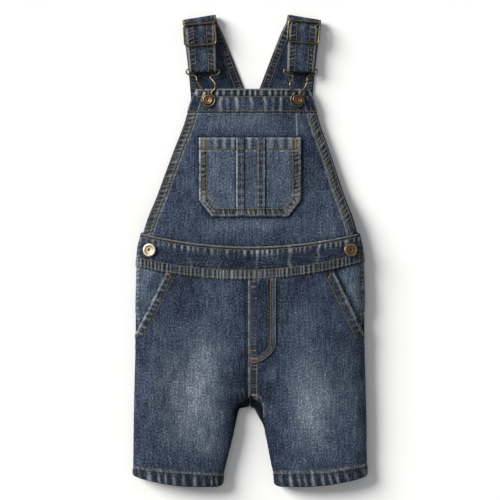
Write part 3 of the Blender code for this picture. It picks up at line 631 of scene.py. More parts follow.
def mesh_from(name, points, quads, attributes, grain=None, kinds=None):
    """A mesh in metres from arrays: quads of point numbers, and values for each point."""
    mesh = bpy.data.meshes.new(name)
    mesh.vertices.add(len(points))
    mesh.vertices.foreach_set("co", (points * MM).astype(np.float32).ravel())
    mesh.loops.add(quads.size)
    mesh.loops.foreach_set("vertex_index", quads.astype(np.int32).ravel())
    mesh.polygons.add(len(quads))
    mesh.polygons.foreach_set("loop_start", np.arange(0, quads.size, 4, dtype=np.int32))
    mesh.update(calc_edges=True)
    if kinds is not None:
        mesh.polygons.foreach_set("material_index", kinds.astype(np.int32))
    for label, values in attributes.items():
        layer = mesh.attributes.new(label, "FLOAT", "POINT")
        layer.data.foreach_set("value", np.asarray(values, np.float32).ravel())
    if grain is not None:
        layer = mesh.uv_layers.new(name="Grain")
        layer.data.foreach_set("uv", (grain[quads.ravel()] * MM).astype(np.float32).ravel())
    mesh.validate()
    mesh.shade_smooth()
    return mesh


def add_piece(name, mesh, finishes, nodes=()):
    """A named piece that rides on the part's one body."""
    for finish in finishes:
        mesh.materials.append(finish)
    made = bpy.data.objects.new(name, mesh)
    bpy.context.scene.collection.objects.link(made)
    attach(made, "root")
    if nodes:
        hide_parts(*nodes)
    return made


def sew(name, cloth, finishes=None):
    """A closed thin shell from a panel's grid, with a rounded rim."""
    rows, columns = cloth.lift.shape
    outer = cloth.points + cloth.normals * cloth.lift[..., None]
    below = cloth.under if cloth.under is not None else cloth.lift - cloth.thick
    inner = cloth.points + cloth.normals * below[..., None]
    # Nothing sinks below the surface that the garment lies on
    outer[..., 2] = np.maximum(outer[..., 2], 0.0)
    inner[..., 2] = np.maximum(inner[..., 2], 0.0)
    count = rows * columns
    number = np.arange(count).reshape(rows, columns)
    quads = np.stack([number[:-1, :-1], number[:-1, 1:], number[1:, 1:], number[1:, :-1]], -1)
    quads = quads.reshape(-1, 4)
    ring = np.concatenate([number[0, :-1], number[:-1, -1], number[-1, :0:-1], number[:0:-1, 0]])
    if cloth.turned:
        quads, ring = quads[:, ::-1], ring[::-1]
    outer, inner = outer.reshape(-1, 3), inner.reshape(-1, 3)
    normals = cloth.normals.reshape(-1, 3)[ring]
    forward = unit(np.roll(outer[ring], -1, 0) - np.roll(outer[ring], 1, 0))
    bulge = np.cross(forward, normals) * cloth.thick * 0.32
    rim = (outer[ring] + inner[ring]) / 2 + bulge
    rim[:, 2] = np.maximum(rim[:, 2], 0.0)
    after = np.roll(ring, -1)
    turn = 2 * count + np.arange(len(ring))
    turn_after = np.roll(turn, -1)
    upper = np.stack([after, ring, turn, turn_after], -1)
    lower = np.stack([turn_after, turn, ring + count, after + count], -1)
    faces = np.concatenate([quads, quads[:, ::-1] + count, upper, lower])
    kinds = np.zeros(len(faces))
    kinds[len(quads):2 * len(quads)] = 1
    kinds[2 * len(quads) + len(ring):] = 1 if cloth.under is None else 0
    if cloth.under is not None:
        kinds[:] = 0
    points = np.concatenate([outer, inner, rim])

    def everywhere(values):
        flat = values.reshape(-1)
        return np.concatenate([flat, flat, flat[ring]])

    flat_grain = cloth.grain.reshape(-1, 2)
    grain = np.concatenate([flat_grain, flat_grain, flat_grain[ring]])
    # Per point: the tone, with the washed-out indigo and the painted shade and light, then the wear
    # and the warm tint
    worn = {"tone_and_painted_light": everywhere(cloth.tone_and_painted_light), "rub": everywhere(np.clip(cloth.rub, 0, 1.2)),
            "warm": everywhere(np.clip(cloth.warm, 0, 1))}
    mesh = mesh_from(name, points, faces, worn, grain, kinds)
    TOPS.append((points, faces))
    return add_piece(name + CLOTH_PIECE, mesh, finishes or CLOTH, [name])


TOPS = []
CLOTH_PIECE = "_cloth"
METAL_PIECE = "_metal"

# A record for a panel's cut that shows, without its turnings, and what it lies on
Cut = namedtuple("Cut", "width length area rests_on")


# Materials


class Web:
    """A short way to add and join a material's nodes."""

    def __init__(self, name):
        self.material = bpy.data.materials.new(name)
        self.material.use_nodes = True
        self.tree = self.material.node_tree
        self.shader = self.tree.nodes["Principled BSDF"]

    def join(self, value, socket):
        if isinstance(value, bpy.types.NodeSocket):
            self.tree.links.new(value, socket)
        elif value is not None:
            socket.default_value = value

    def node(self, kind, **inputs):
        node = self.tree.nodes.new("ShaderNode" + kind)
        for label, value in inputs.items():
            self.join(value, node.inputs[label])
        return node

    def math(self, operation, a, b=None, c=None):
        node = self.node("Math")
        node.operation = operation
        for value, socket in zip((a, b, c), node.inputs):
            self.join(value, socket)
        return node.outputs[0]

    def attribute(self, name):
        node = self.node("Attribute")
        node.attribute_name = name
        return node.outputs["Fac"]

    def grain(self):
        node = self.node("UVMap")
        node.uv_map = "Grain"
        return node.outputs[0]

    def place(self):
        return self.node("TexCoord").outputs["Object"]

    def stretched(self, vector, scale, turn=0.0):
        return self.node("Mapping", Vector=vector, Scale=scale, Rotation=(0, 0, turn)).outputs[0]

    def noise(self, vector, scale, detail=2.0, rough=0.5):
        return self.node("TexNoise", Vector=vector, Scale=scale, Detail=detail,
                         Roughness=rough).outputs[0]

    def bands(self, vector, scale, distortion):
        return self.node("TexWave", Vector=vector, Scale=scale,
                         Distortion=distortion).outputs["Fac"]

    def ramp(self, value, stops):
        node = self.node("ValToRGB")
        self.join(value, node.inputs[0])
        bar = node.color_ramp
        while len(bar.elements) < len(stops):
            bar.elements.new(0.5)
        for element, (place, colour) in zip(bar.elements, stops):
            element.position = place
            element.color = (*colour, 1.0)
        return node.outputs[0]

    def mix(self, share, a, b):
        node = self.node("Mix")
        node.data_type = "RGBA"
        for value, number in ((share, 0), (a, 6), (b, 7)):
            self.join(value, node.inputs[number])
        return node.outputs[2]

    def bumped(self, height, distance, strength, under=None):
        return self.node("Bump", Height=height, Distance=distance, Strength=strength,
                         Normal=under).outputs[0]

    def finish(self, sockets):
        """Sets or joins the shader's own sockets, and gives the material."""
        for label, value in sockets.items():
            self.join(value, self.shader.inputs[label])
        return self.material


INDIGO = [
    (0.0, (0.0073, 0.0105, 0.0211)),
    (0.2, (0.0238, 0.0335, 0.0589)),
    (0.4, (0.0466, 0.0657, 0.1017)),
    (0.6, (0.0846, 0.1110, 0.1501)),
    (0.8, (0.1473, 0.1801, 0.2203)),
    (1.0, (0.2773, 0.3108, 0.3466)),
]
WORN = (0.42, 0.45, 0.47, 1.0)
WARM = (1.30, 1.08, 0.70, 1.0)
SATURATION = 1.06


def denim_finish(name, lift=0.0, grey=0.0):
    """Washed indigo twill: wales, slubs and salt-and-pepper grain over each point's tone, which
    holds the washed-out indigo and the painted shade and light.
    """
    web = Web(name)
    grain = web.grain()
    slub = web.noise(web.stretched(grain, (560.0, 60.0, 1.0)), 1.0, 2.0)
    streak = web.noise(web.stretched(grain, (330.0, 26.0, 1.0)), 1.0, 1.0)
    fleck = web.noise(web.stretched(grain, (620.0, 480.0, 1.0)), 1.0, 1.0, 0.6)
    speck = web.noise(web.stretched(grain, (2100.0, 1500.0, 1.0)), 1.0, 1.0, 0.6)
    patch = web.noise(web.place(), 38.0, 2.0)
    wales = web.bands(web.stretched(grain, (1.0, 1.0, 1.0), math.radians(58)), 420.0, 1.2)
    tone = web.math("ADD", web.attribute("tone_and_painted_light"), lift)
    for value, amount in ((slub, 0.62), (streak, 0.26), (fleck, 1.35), (speck, 0.40),
                          (patch, 0.34), (wales, 0.06)):
        tone = web.math("MULTIPLY_ADD", web.math("SUBTRACT", value, 0.5), amount, tone)
    blue = web.ramp(tone, INDIGO)
    rich = web.node("HueSaturation", Color=blue, Saturation=SATURATION)
    patchy = web.mix(web.math("MULTIPLY", patch, 0.5 + grey), blue, rich.outputs[0])
    rubbed = web.math("MULTIPLY", web.attribute("rub"), web.math("MULTIPLY_ADD", fleck, 1.3, 0.22))
    rubbed = web.math("MULTIPLY_ADD", web.math("SUBTRACT", slub, 0.5), 0.25, rubbed)
    rubbed = web.math("MINIMUM", web.math("MAXIMUM", rubbed, 0.0), 0.95)
    reach = web.math("MINIMUM", web.math("MULTIPLY", web.attribute("rub"), 4.0), 1.0)
    shown = web.math("MULTIPLY", rubbed, reach)
    tinted = web.mix(web.attribute("warm"), patchy, WARM)
    tinted.node.blend_type = "MULTIPLY"
    weave = web.bumped(wales, 0.00022, 0.7)
    return web.finish({
        "Base Color": web.mix(shown, tinted, WORN),
        "Roughness": web.math("MULTIPLY_ADD", fleck, 0.16, 0.78),
        "Specular IOR Level": 0.08,
        "Sheen Weight": 0.04,
        "Sheen Roughness": 0.5,
        "Normal": web.bumped(web.math("ADD", slub, fleck), 0.00030, 0.8, weave),
    })


def thread_finish():
    """Twisted cotton thread, from tan to gold and orange by each stitch's own tone."""
    web = Web("topstitch thread")
    tone = web.attribute("tone")
    tint = web.ramp(tone, [
        (0.0, (0.155, 0.135, 0.10)),
        (0.35, (0.225, 0.172, 0.095)),
        (0.85, (0.36, 0.20, 0.065)),
        (1.0, (0.42, 0.215, 0.055)),
    ])
    fuzz = web.noise(web.place(), 900.0, 2.0)
    shade = web.mix(web.math("MULTIPLY", fuzz, 0.55), tint, (0.11, 0.085, 0.06, 1.0))
    return web.finish({
        "Base Color": shade,
        "Roughness": web.math("MULTIPLY_ADD", fuzz, 0.2, 0.6),
        "Sheen Weight": 0.1,
        "Normal": web.bumped(fuzz, 0.0002, 0.6),
    })


def brass_finish(name, clean, coppery, metallic=0.92):
    """Aged brass: bright where it is handled, brown in its hollows, with soft scratches."""
    web = Web(name)
    cloudy = web.noise(web.place(), 260.0, 4.0, 0.6)
    fine = web.noise(web.place(), 1500.0, 2.0)
    grime = web.math("MULTIPLY_ADD", web.math("SUBTRACT", cloudy, 0.5), 1.1, web.attribute("grime"))
    grime = web.math("MINIMUM", web.math("MAXIMUM", grime, 0.0), 1.0)
    metal = web.mix(web.attribute("copper"), (*clean, 1.0), (*coppery, 1.0))
    return web.finish({
        "Base Color": web.mix(grime, metal, (0.038, 0.026, 0.017, 1.0)),
        "Roughness": web.math("MULTIPLY_ADD", fine, 0.25, 0.24),
        "Metallic": metallic,
        "Normal": web.bumped(web.math("ADD", cloudy, fine), 0.00012, 0.5),
    })


DENIM_OUT = denim_finish("washed denim")
DENIM_PALE = denim_finish("paler denim", 0.0, 0.2)
DENIM_IN = denim_finish("denim reverse", 0.34, 0.4)
THREAD = thread_finish()
WIRE_BRASS = brass_finish("aged brass wire", (0.26, 0.205, 0.11), (0.24, 0.14, 0.08))
BRONZE = brass_finish("dark bronze", (0.17, 0.125, 0.075), (0.42, 0.22, 0.12))
BRASS = brass_finish("aged brass", (0.36, 0.27, 0.15), (0.34, 0.17, 0.09))
# The left waist button's brass: the right one's brass made paler and less metallic, a painted
# reflection of the lamp on that side
BRASS_WITH_PAINTED_REFLECTION = brass_finish("pale brass with painted reflection", (0.62, 0.53, 0.39), (0.50, 0.36, 0.22), 0.55)
CLOTH = [DENIM_OUT, DENIM_IN]


# Panels


def leg_points(side, rows, columns, v=None):
    """The front leg's own grid, from the inseam out to the pocket opening or side seam."""
    v = np.linspace(0, 1, rows)[:, None] if v is None else v
    y_in, y_out = row_y(v, side * INNER_READ), row_y(v, side * OUTER_READ)
    inner = inner_edge(side, y_in) + front_short(side, y_in)
    inner = np.maximum(inner, GAP / 2 + 0.05)
    outer = read(BODY, "half_width", y_out)
    centre = read(SEAT, "front", y_in)
    closed = smooth(0.0, 0.3, centre)
    start = inner + SEAM_LIP * closed
    middle, half = (start + outer) / 2, (outer - start) / 2
    edge_y = row_y(v, side * outer)
    reach = (pocket_x(row_y(v, side * pocket_x(edge_y))) - middle) / half
    limit = np.where(edge_y > POCKET_FOOT[1], np.minimum(1.0, reach), 1.0)
    share = np.linspace(0, 1, columns)[None, :]
    turn = -np.pi / 2 + (np.arcsin(limit) + np.pi / 2) * share
    u = np.sin(turn)
    x = side * (middle + half * u)
    y = row_y(v, x)
    body = np.stack([x, y, arch(y, section_share(u, centre))], -1)
    first, last = body[:, :1], body[:, -1:]
    inseam = first.copy()
    inseam[..., 0] = side * inner
    inseam[..., 1] = row_y(v, side * inner)
    inseam[..., 2] = np.where(centre < 0.01, SIDE_SEAM_Z + GAP / 2,
                              first[..., 2] - SEAM_LIP * (1 - closed))
    seam = last.copy()
    seam[..., 2] = SIDE_SEAM_Z + GAP / 2
    beyond = last + unit(last - body[:, -2:-1]) * SEAM_LIP
    seam = np.where((limit < 1.0)[..., None], beyond, seam)
    return np.concatenate([inseam, (inseam + first) / 2, body, (seam + last) / 2, seam], 1)


HEM_CORNER = 5.0


def rounded_hem(points):
    """Rows near the hem drawn in at both ends, so that its corners are round."""
    above = np.clip(points[..., 1] - hem_line(points[..., 0]), 0, HEM_CORNER)
    inset = HEM_CORNER - np.sqrt(HEM_CORNER ** 2 - (HEM_CORNER - above) ** 2)
    ends = points[:, :1, 0], points[:, -1:, 0]
    middle, half = (ends[0] + ends[1]) / 2, np.abs(ends[0] - ends[1]) / 2
    made = points.copy()
    made[..., 0] = middle + (points[..., 0] - middle) * (half - inset) / half
    return made


def hem_detail(cloth, line, seed):
    """The turned hem below its stitches, roped in slanted bars, with puckers above it."""
    s, above = along(cloth.x, cloth.y, line)
    depth = 14.5
    below = -above
    folded = smooth(-1.4, 0.0, below)
    crest = ladder(s - 0.15 * below, 10.0, seed)
    belly = np.sin(np.pi * np.clip((below + 0.5) / depth, 0.05, 0.9)) ** 0.5 * folded
    cloth.lift += folded * HEM_LIFT + 0.75 * (crest - 0.5) * belly
    cloth.rub += 0.62 * crest ** 3 * belly * (0.6 + 0.4 * smooth(2, 9, below))
    cloth.tone_and_painted_light -= folded * (0.03 + 0.20 * (1 - crest))
    cloth.warm += 0.2 * folded
    edge = cloth.y - hem_line(cloth.x)
    cloth.rub += 0.16 * bump(edge - 1.4, 0.8) * crest
    cloth.tone_and_painted_light -= 0.18 * bump(edge, 1.4)
    cloth.groove(above, 0.8, 0.35)
    cloth.puckers(s, above, 5.0, 0.5, 4.6, seed + 3, slant=0.8, worn=0.62, shade=0.04)
    cloth.rub += 0.30 * bump(above - 1.6, 0.8) * ladder(s, 4.6, seed + 3)


def pocket_line(side):
    return [(side * x, y) for x, y in (POCKET_TOP, POCKET_FOOT)]


def front_leg(label, side):
    cloth = Cloth(rounded_hem(leg_points(side, 196, 104)), 0.24)
    x, y = cloth.x, cloth.y
    distance = np.abs(x)
    # Darker beside the middle seam and down the inseam, and along the side seam
    inner = inner_edge(x, y)
    cloth.tone_and_painted_light -= 0.03 * bump(distance - inner, 11.0)
    cloth.tone_and_painted_light -= 0.03 * smooth(118, 132, distance)
    hem_detail(cloth, HEM_STITCH[label], 21 + side)
    s_waist = x * 1.02
    below_waist = waist_seam(x) - y
    cloth.puckers(s_waist, below_waist, 6.5, 0.5, 8.0, 31 + side, slant=0.5 * side, worn=0.22)
    # The opening's fold and the strip stitched beside it
    s, left = along(x, y, pocket_line(side))
    inside = left * -side
    near = smooth(POCKET_FOOT[1] - 3, POCKET_FOOT[1] + 2, y)
    strip_inside = np.where(near > 0, inside, 99.0)
    cloth.strip(s, strip_inside, 9.5, 0.45, 0.7, 7.5, 41 + side, slant=0.25, worn=0.30, edge=1.0,
                dark=0.06, warm=0.25)
    blobs = (1 - ladder(s, 7.5, 43 + side)) ** 1.5
    cloth.tone_and_painted_light -= 0.42 * bump(strip_inside - 4.4, 2.1) * blobs
    cloth.rub += 0.30 * bump(strip_inside - 1.9, 0.8) * (1 - blobs)
    # Middle seam: the left panel's worn edge laps the felled strip on the right panel
    seat = smooth(-178, -172, y)
    if side < 0:
        edge = distance - 0.3
        cloth.lift += 0.5 * (1 - smooth(2.4, 4.2, edge)) * seat
        worn = 0.60 + 0.3 * drift(y / 3.0, 51)
        cloth.rub += worn * bump(edge - 0.9, 0.75) * seat
        cloth.warm += 0.5 * bump(edge - 1.0, 2.0) * seat
        cloth.tone_and_painted_light -= 0.20 * bump(edge - 4.2, 2.0) * seat
        cloth.warm += 0.30 * np.exp(-((x + 88) / 24) ** 2 - ((y + 168) / 52) ** 2)
    else:
        below_fly = 1 - smooth(FLY_FOOT_Y - 2, FLY_FOOT_Y + 2, y)
        crest = ladder(y, 3.6, 57)
        strip = (1 - smooth(7.6, 9.0, distance)) * seat * below_fly
        cloth.bars(strip, crest, 0.35, 0.32, dark=0.14, warm=0.5)
        cloth.lift += 0.35 * strip
        cloth.tone_and_painted_light -= 0.06 * strip
        cloth.rub += 0.26 * bump(distance - 8.2, 0.7) * seat * below_fly
    # Inseam: a felled strip, puckered, and darker along its rim
    leg = 1 - smooth(-184, -176, y)
    into = np.where(leg > 0, distance - inner - front_short(side, y), 99.0)
    s_in = -y
    cloth.puckers(s_in, into, 5.0, 0.5, 6.0, 61 + side, worn=0.10, shade=0.05)
    # Painted shade along the front panel's inner rim, where it turns down toward the gap between
    # the legs
    cloth.tone_and_painted_light -= 0.26 * bump(into - 0.6, 1.7)
    # Whitish creases where the two inseams meet the middle seam
    for cx, cy, to_x, to_y in ((-9, -158, -5.5, -169), (-14, -160, -11, -170), (3, -166, 12, -170),
                               (12, -168, 15, -177), (15, -177, 16, -192)):
        _, off = along(x, y, [(cx, cy), (to_x, to_y)])
        cloth.rub += 0.24 * bump(off, 0.9)
    # Side seam: uneven puckers
    seam_side = read(BODY, "half_width", y) - distance
    s_side = np.where(y < POCKET_FOOT[1] - 4, seam_side, 99.0)
    cloth.puckers(-y, s_side, 5.0, 0.5, 8.5, 71 + side, worn=0.20)
    return sew("front_leg_" + label, cloth)


def curl(inset):
    """The share of its height to which a curled edge has risen, a distance in from the edge."""
    rise = 1 - np.sqrt(np.clip(1 - ((BACK_CURL - inset) / BACK_CURL) ** 2, 0, 1))
    return np.where(inset < BACK_CURL, rise, 0)


def back_leg(label, side):
    """Flat where it rests, and curled up to the side seam and the inseam."""
    v = np.concatenate([np.linspace(0, 0.54, 40)[:-1], np.linspace(0.54, 0.8, 56)[:-1],
                        np.linspace(0.8, 1, 26)])[:, None]
    y_in = row_y(v, side * INNER_READ)
    inner = np.maximum(inner_edge(side, y_in), GAP / 2 + 0.05)
    outer = read(BODY, "half_width", row_y(v, side * OUTER_READ))
    past_crotch = 1 - smooth(CROTCH_RIM_RUN[1], CROTCH_RIM_RUN[0], y_in)
    low = CROTCH_RIM_Z + (SIDE_SEAM_Z - CROTCH_RIM_Z) * past_crotch
    rim = (low - GAP / 2) * (1 - read(SEAT, "back", y_in))
    closed = 1 - smooth(0.0, 2.0, rim)
    start = inner + SEAM_LIP * closed
    curl_turn = np.linspace(np.pi / 2, 0, 9)[None, :]
    flat_in, flat_out = start + BACK_CURL, outer - BACK_CURL
    near = flat_in - BACK_CURL * np.sin(curl_turn)
    flat = flat_in + (flat_out - flat_in) * np.linspace(0, 1, 46)[None, 1:-1]
    far = flat_out + BACK_CURL * np.sin(curl_turn[:, ::-1])
    across = np.concatenate([near, flat, far], 1)
    in_rise = curl(across - start) * np.maximum(0, rim - SEAM_LIP * (1 - closed))
    out_rise = curl(outer - across) * (SIDE_SEAM_Z - SEAM_LIP)
    x = side * across
    straight = (waist_seam(WAIST_HALF) + waist_seam(-WAIST_HALF)) / 2 + WAIST_SEAM_TILT * x
    share = smooth(0.0, 0.45, v)
    y = (1 - share) * ((1 - v) * (straight - GAP) + v * hem_line(x)) + share * row_y(v, x)
    body = np.stack([x, y, in_rise + out_rise], -1)
    inseam, seam = body[:, :1].copy(), body[:, -1:].copy()
    inseam[..., 0] = side * inner
    inseam[..., 2] = rim
    seam[..., 2] = SIDE_SEAM_Z - GAP / 2
    # At the crotch the panel turns up from its rim to just under the front's edge
    front = leg_points(side, 3, 8, v)[:, :1]
    at_crotch = (smooth(-166, -170, y_in) * (1 - smooth(-196, -224, y_in)))[..., None]
    tucked = inseam + np.array([side * 0.6, 0.0, 0.3])
    target = front + np.array([side * 1.6, 0.0, -1.9])
    end = tucked * (1 - at_crotch) + target * at_crotch
    belly = np.array([0.0, -0.6, 1.2]) * at_crotch
    turned_up = [end + (inseam - end) * k / 7 + belly * math.sin(math.pi * k / 7) for k in range(7)]
    panel = np.concatenate([*turned_up, inseam, body, seam], 1)
    cloth = Cloth(rounded_hem(panel), 0.26, swayed=False, up=False)
    rim_part = np.zeros(cloth.x.shape)
    rim_part[:, :8] = np.linspace(0.2, 1, 8)[::-1]
    rim_part[:, 8:12] = 0.9
    # Painted shade on the panel's inner edge and on the part turned up at the crotch, which face
    # the gap between the legs
    cloth.tone_and_painted_light -= 0.42 * np.minimum(1, rim_part * 2) * smooth(-160, -168, cloth.y)
    s, above = along(cloth.x, cloth.y, HEM_STITCH[label])
    folded = smooth(-1.4, 0.0, -above)
    crest = ladder(s - 0.32 * -above, 10.0, 83 + side)
    cloth.lift -= folded * 0.45 * (1 - crest)
    cloth.rub += folded * 0.45 * crest ** 2
    cloth.tone_and_painted_light -= folded * 0.2 * (1 - crest)
    cloth.tone_and_painted_light += 0.25 * np.exp(-((np.abs(cloth.x) - 66) / 34) ** 2 - ((cloth.y + 90) / 60) ** 2)
    seat_edge = np.abs(cloth.x) - inner_edge(cloth.x, cloth.y)
    on_back = 1 - np.minimum(1, rim_part * 2)
    cloth.rub += 0.35 * bump(seat_edge - 1.0, 1.2) * on_back
    cloth.tone_and_painted_light -= 0.10 * bump(seat_edge, 9.0)
    return sew("back_leg_" + label, cloth)


def hip_facing(label, side):
    v = np.linspace(*FACING_SPAN, 60)[:, None]
    edge_y = row_y(v, side * OUTER_READ)
    outer = read(BODY, "half_width", edge_y)
    half = outer / 2
    start = np.maximum(0.05, (pocket_x(edge_y) - FACING_TUCK - half) / half)
    turn = np.arcsin(start) + (np.pi / 2 - np.arcsin(start)) * np.linspace(0, 1, 34)[None, :]
    u = np.sin(turn)
    x = side * (half + half * u)
    y = row_y(v, x)
    share = section_share(u, 1.0)
    body = np.stack([x, y, arch(y, share)], -1)
    seam = body[:, -1:].copy()
    seam[..., 2] = SIDE_SEAM_Z + GAP / 2
    cloth = Cloth(np.concatenate([body, (body[:, -1:] + seam) / 2, seam], 1), 0.47,
                  thick=FACING_THICK)
    x, y = cloth.x, cloth.y
    bare = smooth(FACING_REACH, FACING_REACH + FACING_FADE, np.abs(x) - pocket_x(y))
    cloth.lift = cloth.lift * (0.6 + 0.4 * bare) - (DENIM + 3 * LIE) * (1 - bare)
    shadow = np.abs(x) - pocket_x(y)
    cloth.tone_and_painted_light -= 0.35 * bump(shadow - 1.0, 2.6)
    in_from_seam = read(BODY, "half_width", y) - np.abs(x)
    cloth.strip(-y, in_from_seam, 5.0, 0.3, 0.5, 5.5, 91 + side, worn=0.40, edge=0.2,
                dark=0.05 if side < 0 else 0.16, warm=0.2)
    cloth.puckers(x, waist_seam(x) - y, 5.0, 0.4, 8.0, 95, worn=0.35)
    cloth.tone_and_painted_light -= 0.10 * smooth(-60, -92, y)
    return sew("hip_facing_" + label, cloth, [DENIM_PALE, DENIM_IN])


def mock_fly():
    """The second layer right of the middle seam, round at its foot."""
    level = (np.linspace(0, 1, 72) ** 0.85)[:, None] * 0.9875
    y = waist_seam(0) - 2 * GAP + level * (FLY_FOOT_Y - waist_seam(0))
    below = np.maximum(0.0, FLY_FOOT_Y + FLY_ROUND - y) / FLY_ROUND
    width = (FLY_WIDTH - FLY_START_X) * np.sqrt(np.maximum(0.0, 1 - below ** 2))
    x = FLY_START_X + width * np.linspace(0, 1, 26)[None, :]
    y = y + (waist_seam(x) - waist_seam(0)) * (1 - level)
    cloth = Cloth(on_front(x, y, FLY_THICK + LIE), 0.13, thick=FLY_THICK)
    x, y = cloth.x, cloth.y
    crest = ladder(y, 4.2, 101)
    strip = 1 - smooth(7.0, 9.0, x)
    cloth.bars(strip, crest, 0.3, 0.26)
    _, inner = along(x, y, FLY_INNER)
    _, outer = along(x, y, FLY_OUTER)
    cloth.groove(inner, 0.9, 0.25)
    cloth.groove(outer, 0.8, 0.2)
    between = smooth(0.0, 1.5, inner) * smooth(-1.0, 0.5, -outer)
    cloth.puckers(x, waist_seam(x) - y, 5.0, 0.3, 6.0, 105, worn=0.5)
    cloth.rub += 0.16 * np.clip(between, 0, 1)
    return sew("fly", cloth)


def waistband_front():
    share = np.linspace(0, 1, 34)[:, None]
    reach = np.sin(np.pi * (np.linspace(0, 1, 236) - 0.5))[None, :]
    foot_y = waist_seam(WAIST_HALF * reach)
    edge_y = (1 - share) * foot_y + share * waist_top(WAIST_TOP_HALF * reach)
    x = reach * read(BODY, "half_width", edge_y)
    y = (1 - share) * waist_seam(x) + share * (waist_top(x) - GAP)
    half = read(BODY, "half_width", y) / 2
    u = np.clip((np.abs(x) - half) / half, -1, 1)
    u[:, 0] = u[:, -1] = 1.0
    body = np.stack([x, y, arch(y, section_share(u, 1.0))], -1)
    ends = body[:, [0, -1]].copy()
    ends[..., 2] = SIDE_SEAM_Z + GAP / 2
    points = np.concatenate([ends[:, :1], body, ends[:, 1:]], 1)
    cloth = Cloth(points, 0.15, thick=BAND_THICK)
    x, y = cloth.x, cloth.y
    cloth.lift = cloth.lift * 0.7 + WAIST_LIFT
    top = waist_top(x) - GAP - y
    foot = y - waist_seam(x)
    cloth.grain = np.stack([cloth.y, cloth.grain[..., 0]], -1)
    # Top edge: worn tan fold, stitches under it, and whitish puckers hanging from them
    cloth.rub += 0.40 * bump(top - 0.4, 0.6)
    cloth.groove(top - 3.2, 0.9, 0.3)
    cloth.puckers(x, top - 4.2, 5.5, 0.7, 6.5, 111, worn=1.1, shade=0.16)
    cloth.puckers(x, top - 1.0, 18.0, 0.35, 15.0, 113, worn=0.14, shade=0.05)
    # Foot: a raised strip with fine ladder bars, brightest in the middle
    middle = 0.6 + 0.5 * bump(x + 8, 46.0)
    crest = ladder(x, 4.2, 117)
    strip = 1 - smooth(9.4, 10.6, foot)
    cloth.bars(strip, crest, 0.45, 0.66 * middle, dark=0.42, warm=0.5)
    cloth.lift += 0.4 * strip
    cloth.tone_and_painted_light += 0.10 * strip
    cloth.groove(foot - 10.2, 0.8, 0.35)
    cloth.puckers(x, foot - 10.4, 4.0, 0.4, 6.0, 119, worn=0.25)
    for at, wide, strength in ((46.0, 1.5, 0.34), (79.0, 1.3, 0.26), (-34.0, 1.6, 0.18),
                               (-70.0, 1.5, 0.2), (8.0, 1.4, 0.2)):
        line = x - at - 2.2 * drift(y / 7.0, int(at) + 200)
        fading = 0.65 + 0.35 * drift(y / 4.0, int(at) + 201)
        cloth.rub += strength * bump(line, wide) * fading * (1 - strip)
        cloth.lift += 0.35 * bump(line, wide) * (1 - strip)
    cloth.rub += 0.25 * smooth(122, 129, np.abs(x)) * ladder(y, 5.0, 121)
    return sew("waistband_front", cloth)


def waistband_back():
    share = np.linspace(0, 1, 24)[:, None]
    middle_y = (1 - share) * BACK_WAIST_SEAM_Y + share * BACK_WAIST_TOP_Y
    outer = read(BODY, "half_width", middle_y)
    flat = outer - BACK_CURL
    curve = BACK_CURL * np.sin(np.linspace(0, np.pi / 2, 9))[None, 1:]
    right = flat + curve
    x = np.concatenate([-right[:, ::-1], flat * np.linspace(-1, 1, 90)[None, :], right], 1)
    straight = (waist_seam(WAIST_HALF) + waist_seam(-WAIST_HALF)) / 2 + WAIST_SEAM_TILT * x
    y = (1 - share) * (straight + GAP) + share * BACK_WAIST_TOP_Y
    z = curl(outer - np.abs(x)) * (SIDE_SEAM_Z - SEAM_LIP)
    body = np.stack([x, y, z], -1)
    ends = body[:, [0, -1]].copy()
    ends[..., 2] = SIDE_SEAM_Z - GAP / 2
    cloth = Cloth(np.concatenate([ends[:, :1], body, ends[:, 1:]], 1), 0.2, swayed=False, up=False)
    cloth.grain = np.stack([cloth.y, cloth.grain[..., 0]], -1)
    top = BACK_WAIST_TOP_Y - cloth.y
    crest = ladder(cloth.x, 7.0, 131)
    hung = np.exp(-(top / 9.0) ** 2) + np.exp(-((36 - top) / 7.0) ** 2)
    cloth.lift -= 0.3 * (1 - crest) * hung
    cloth.rub += 0.4 * crest ** 2 * hung
    return sew("waistband_back", cloth)


def bib_edge(side):
    """The bib's side edge from its foot to its top."""
    ys = np.linspace(17, BIB_TOP_Y, 24)
    return [(float(bib_centre(y) + side * read(BIB, "half_width", y)), float(y)) for y in ys]


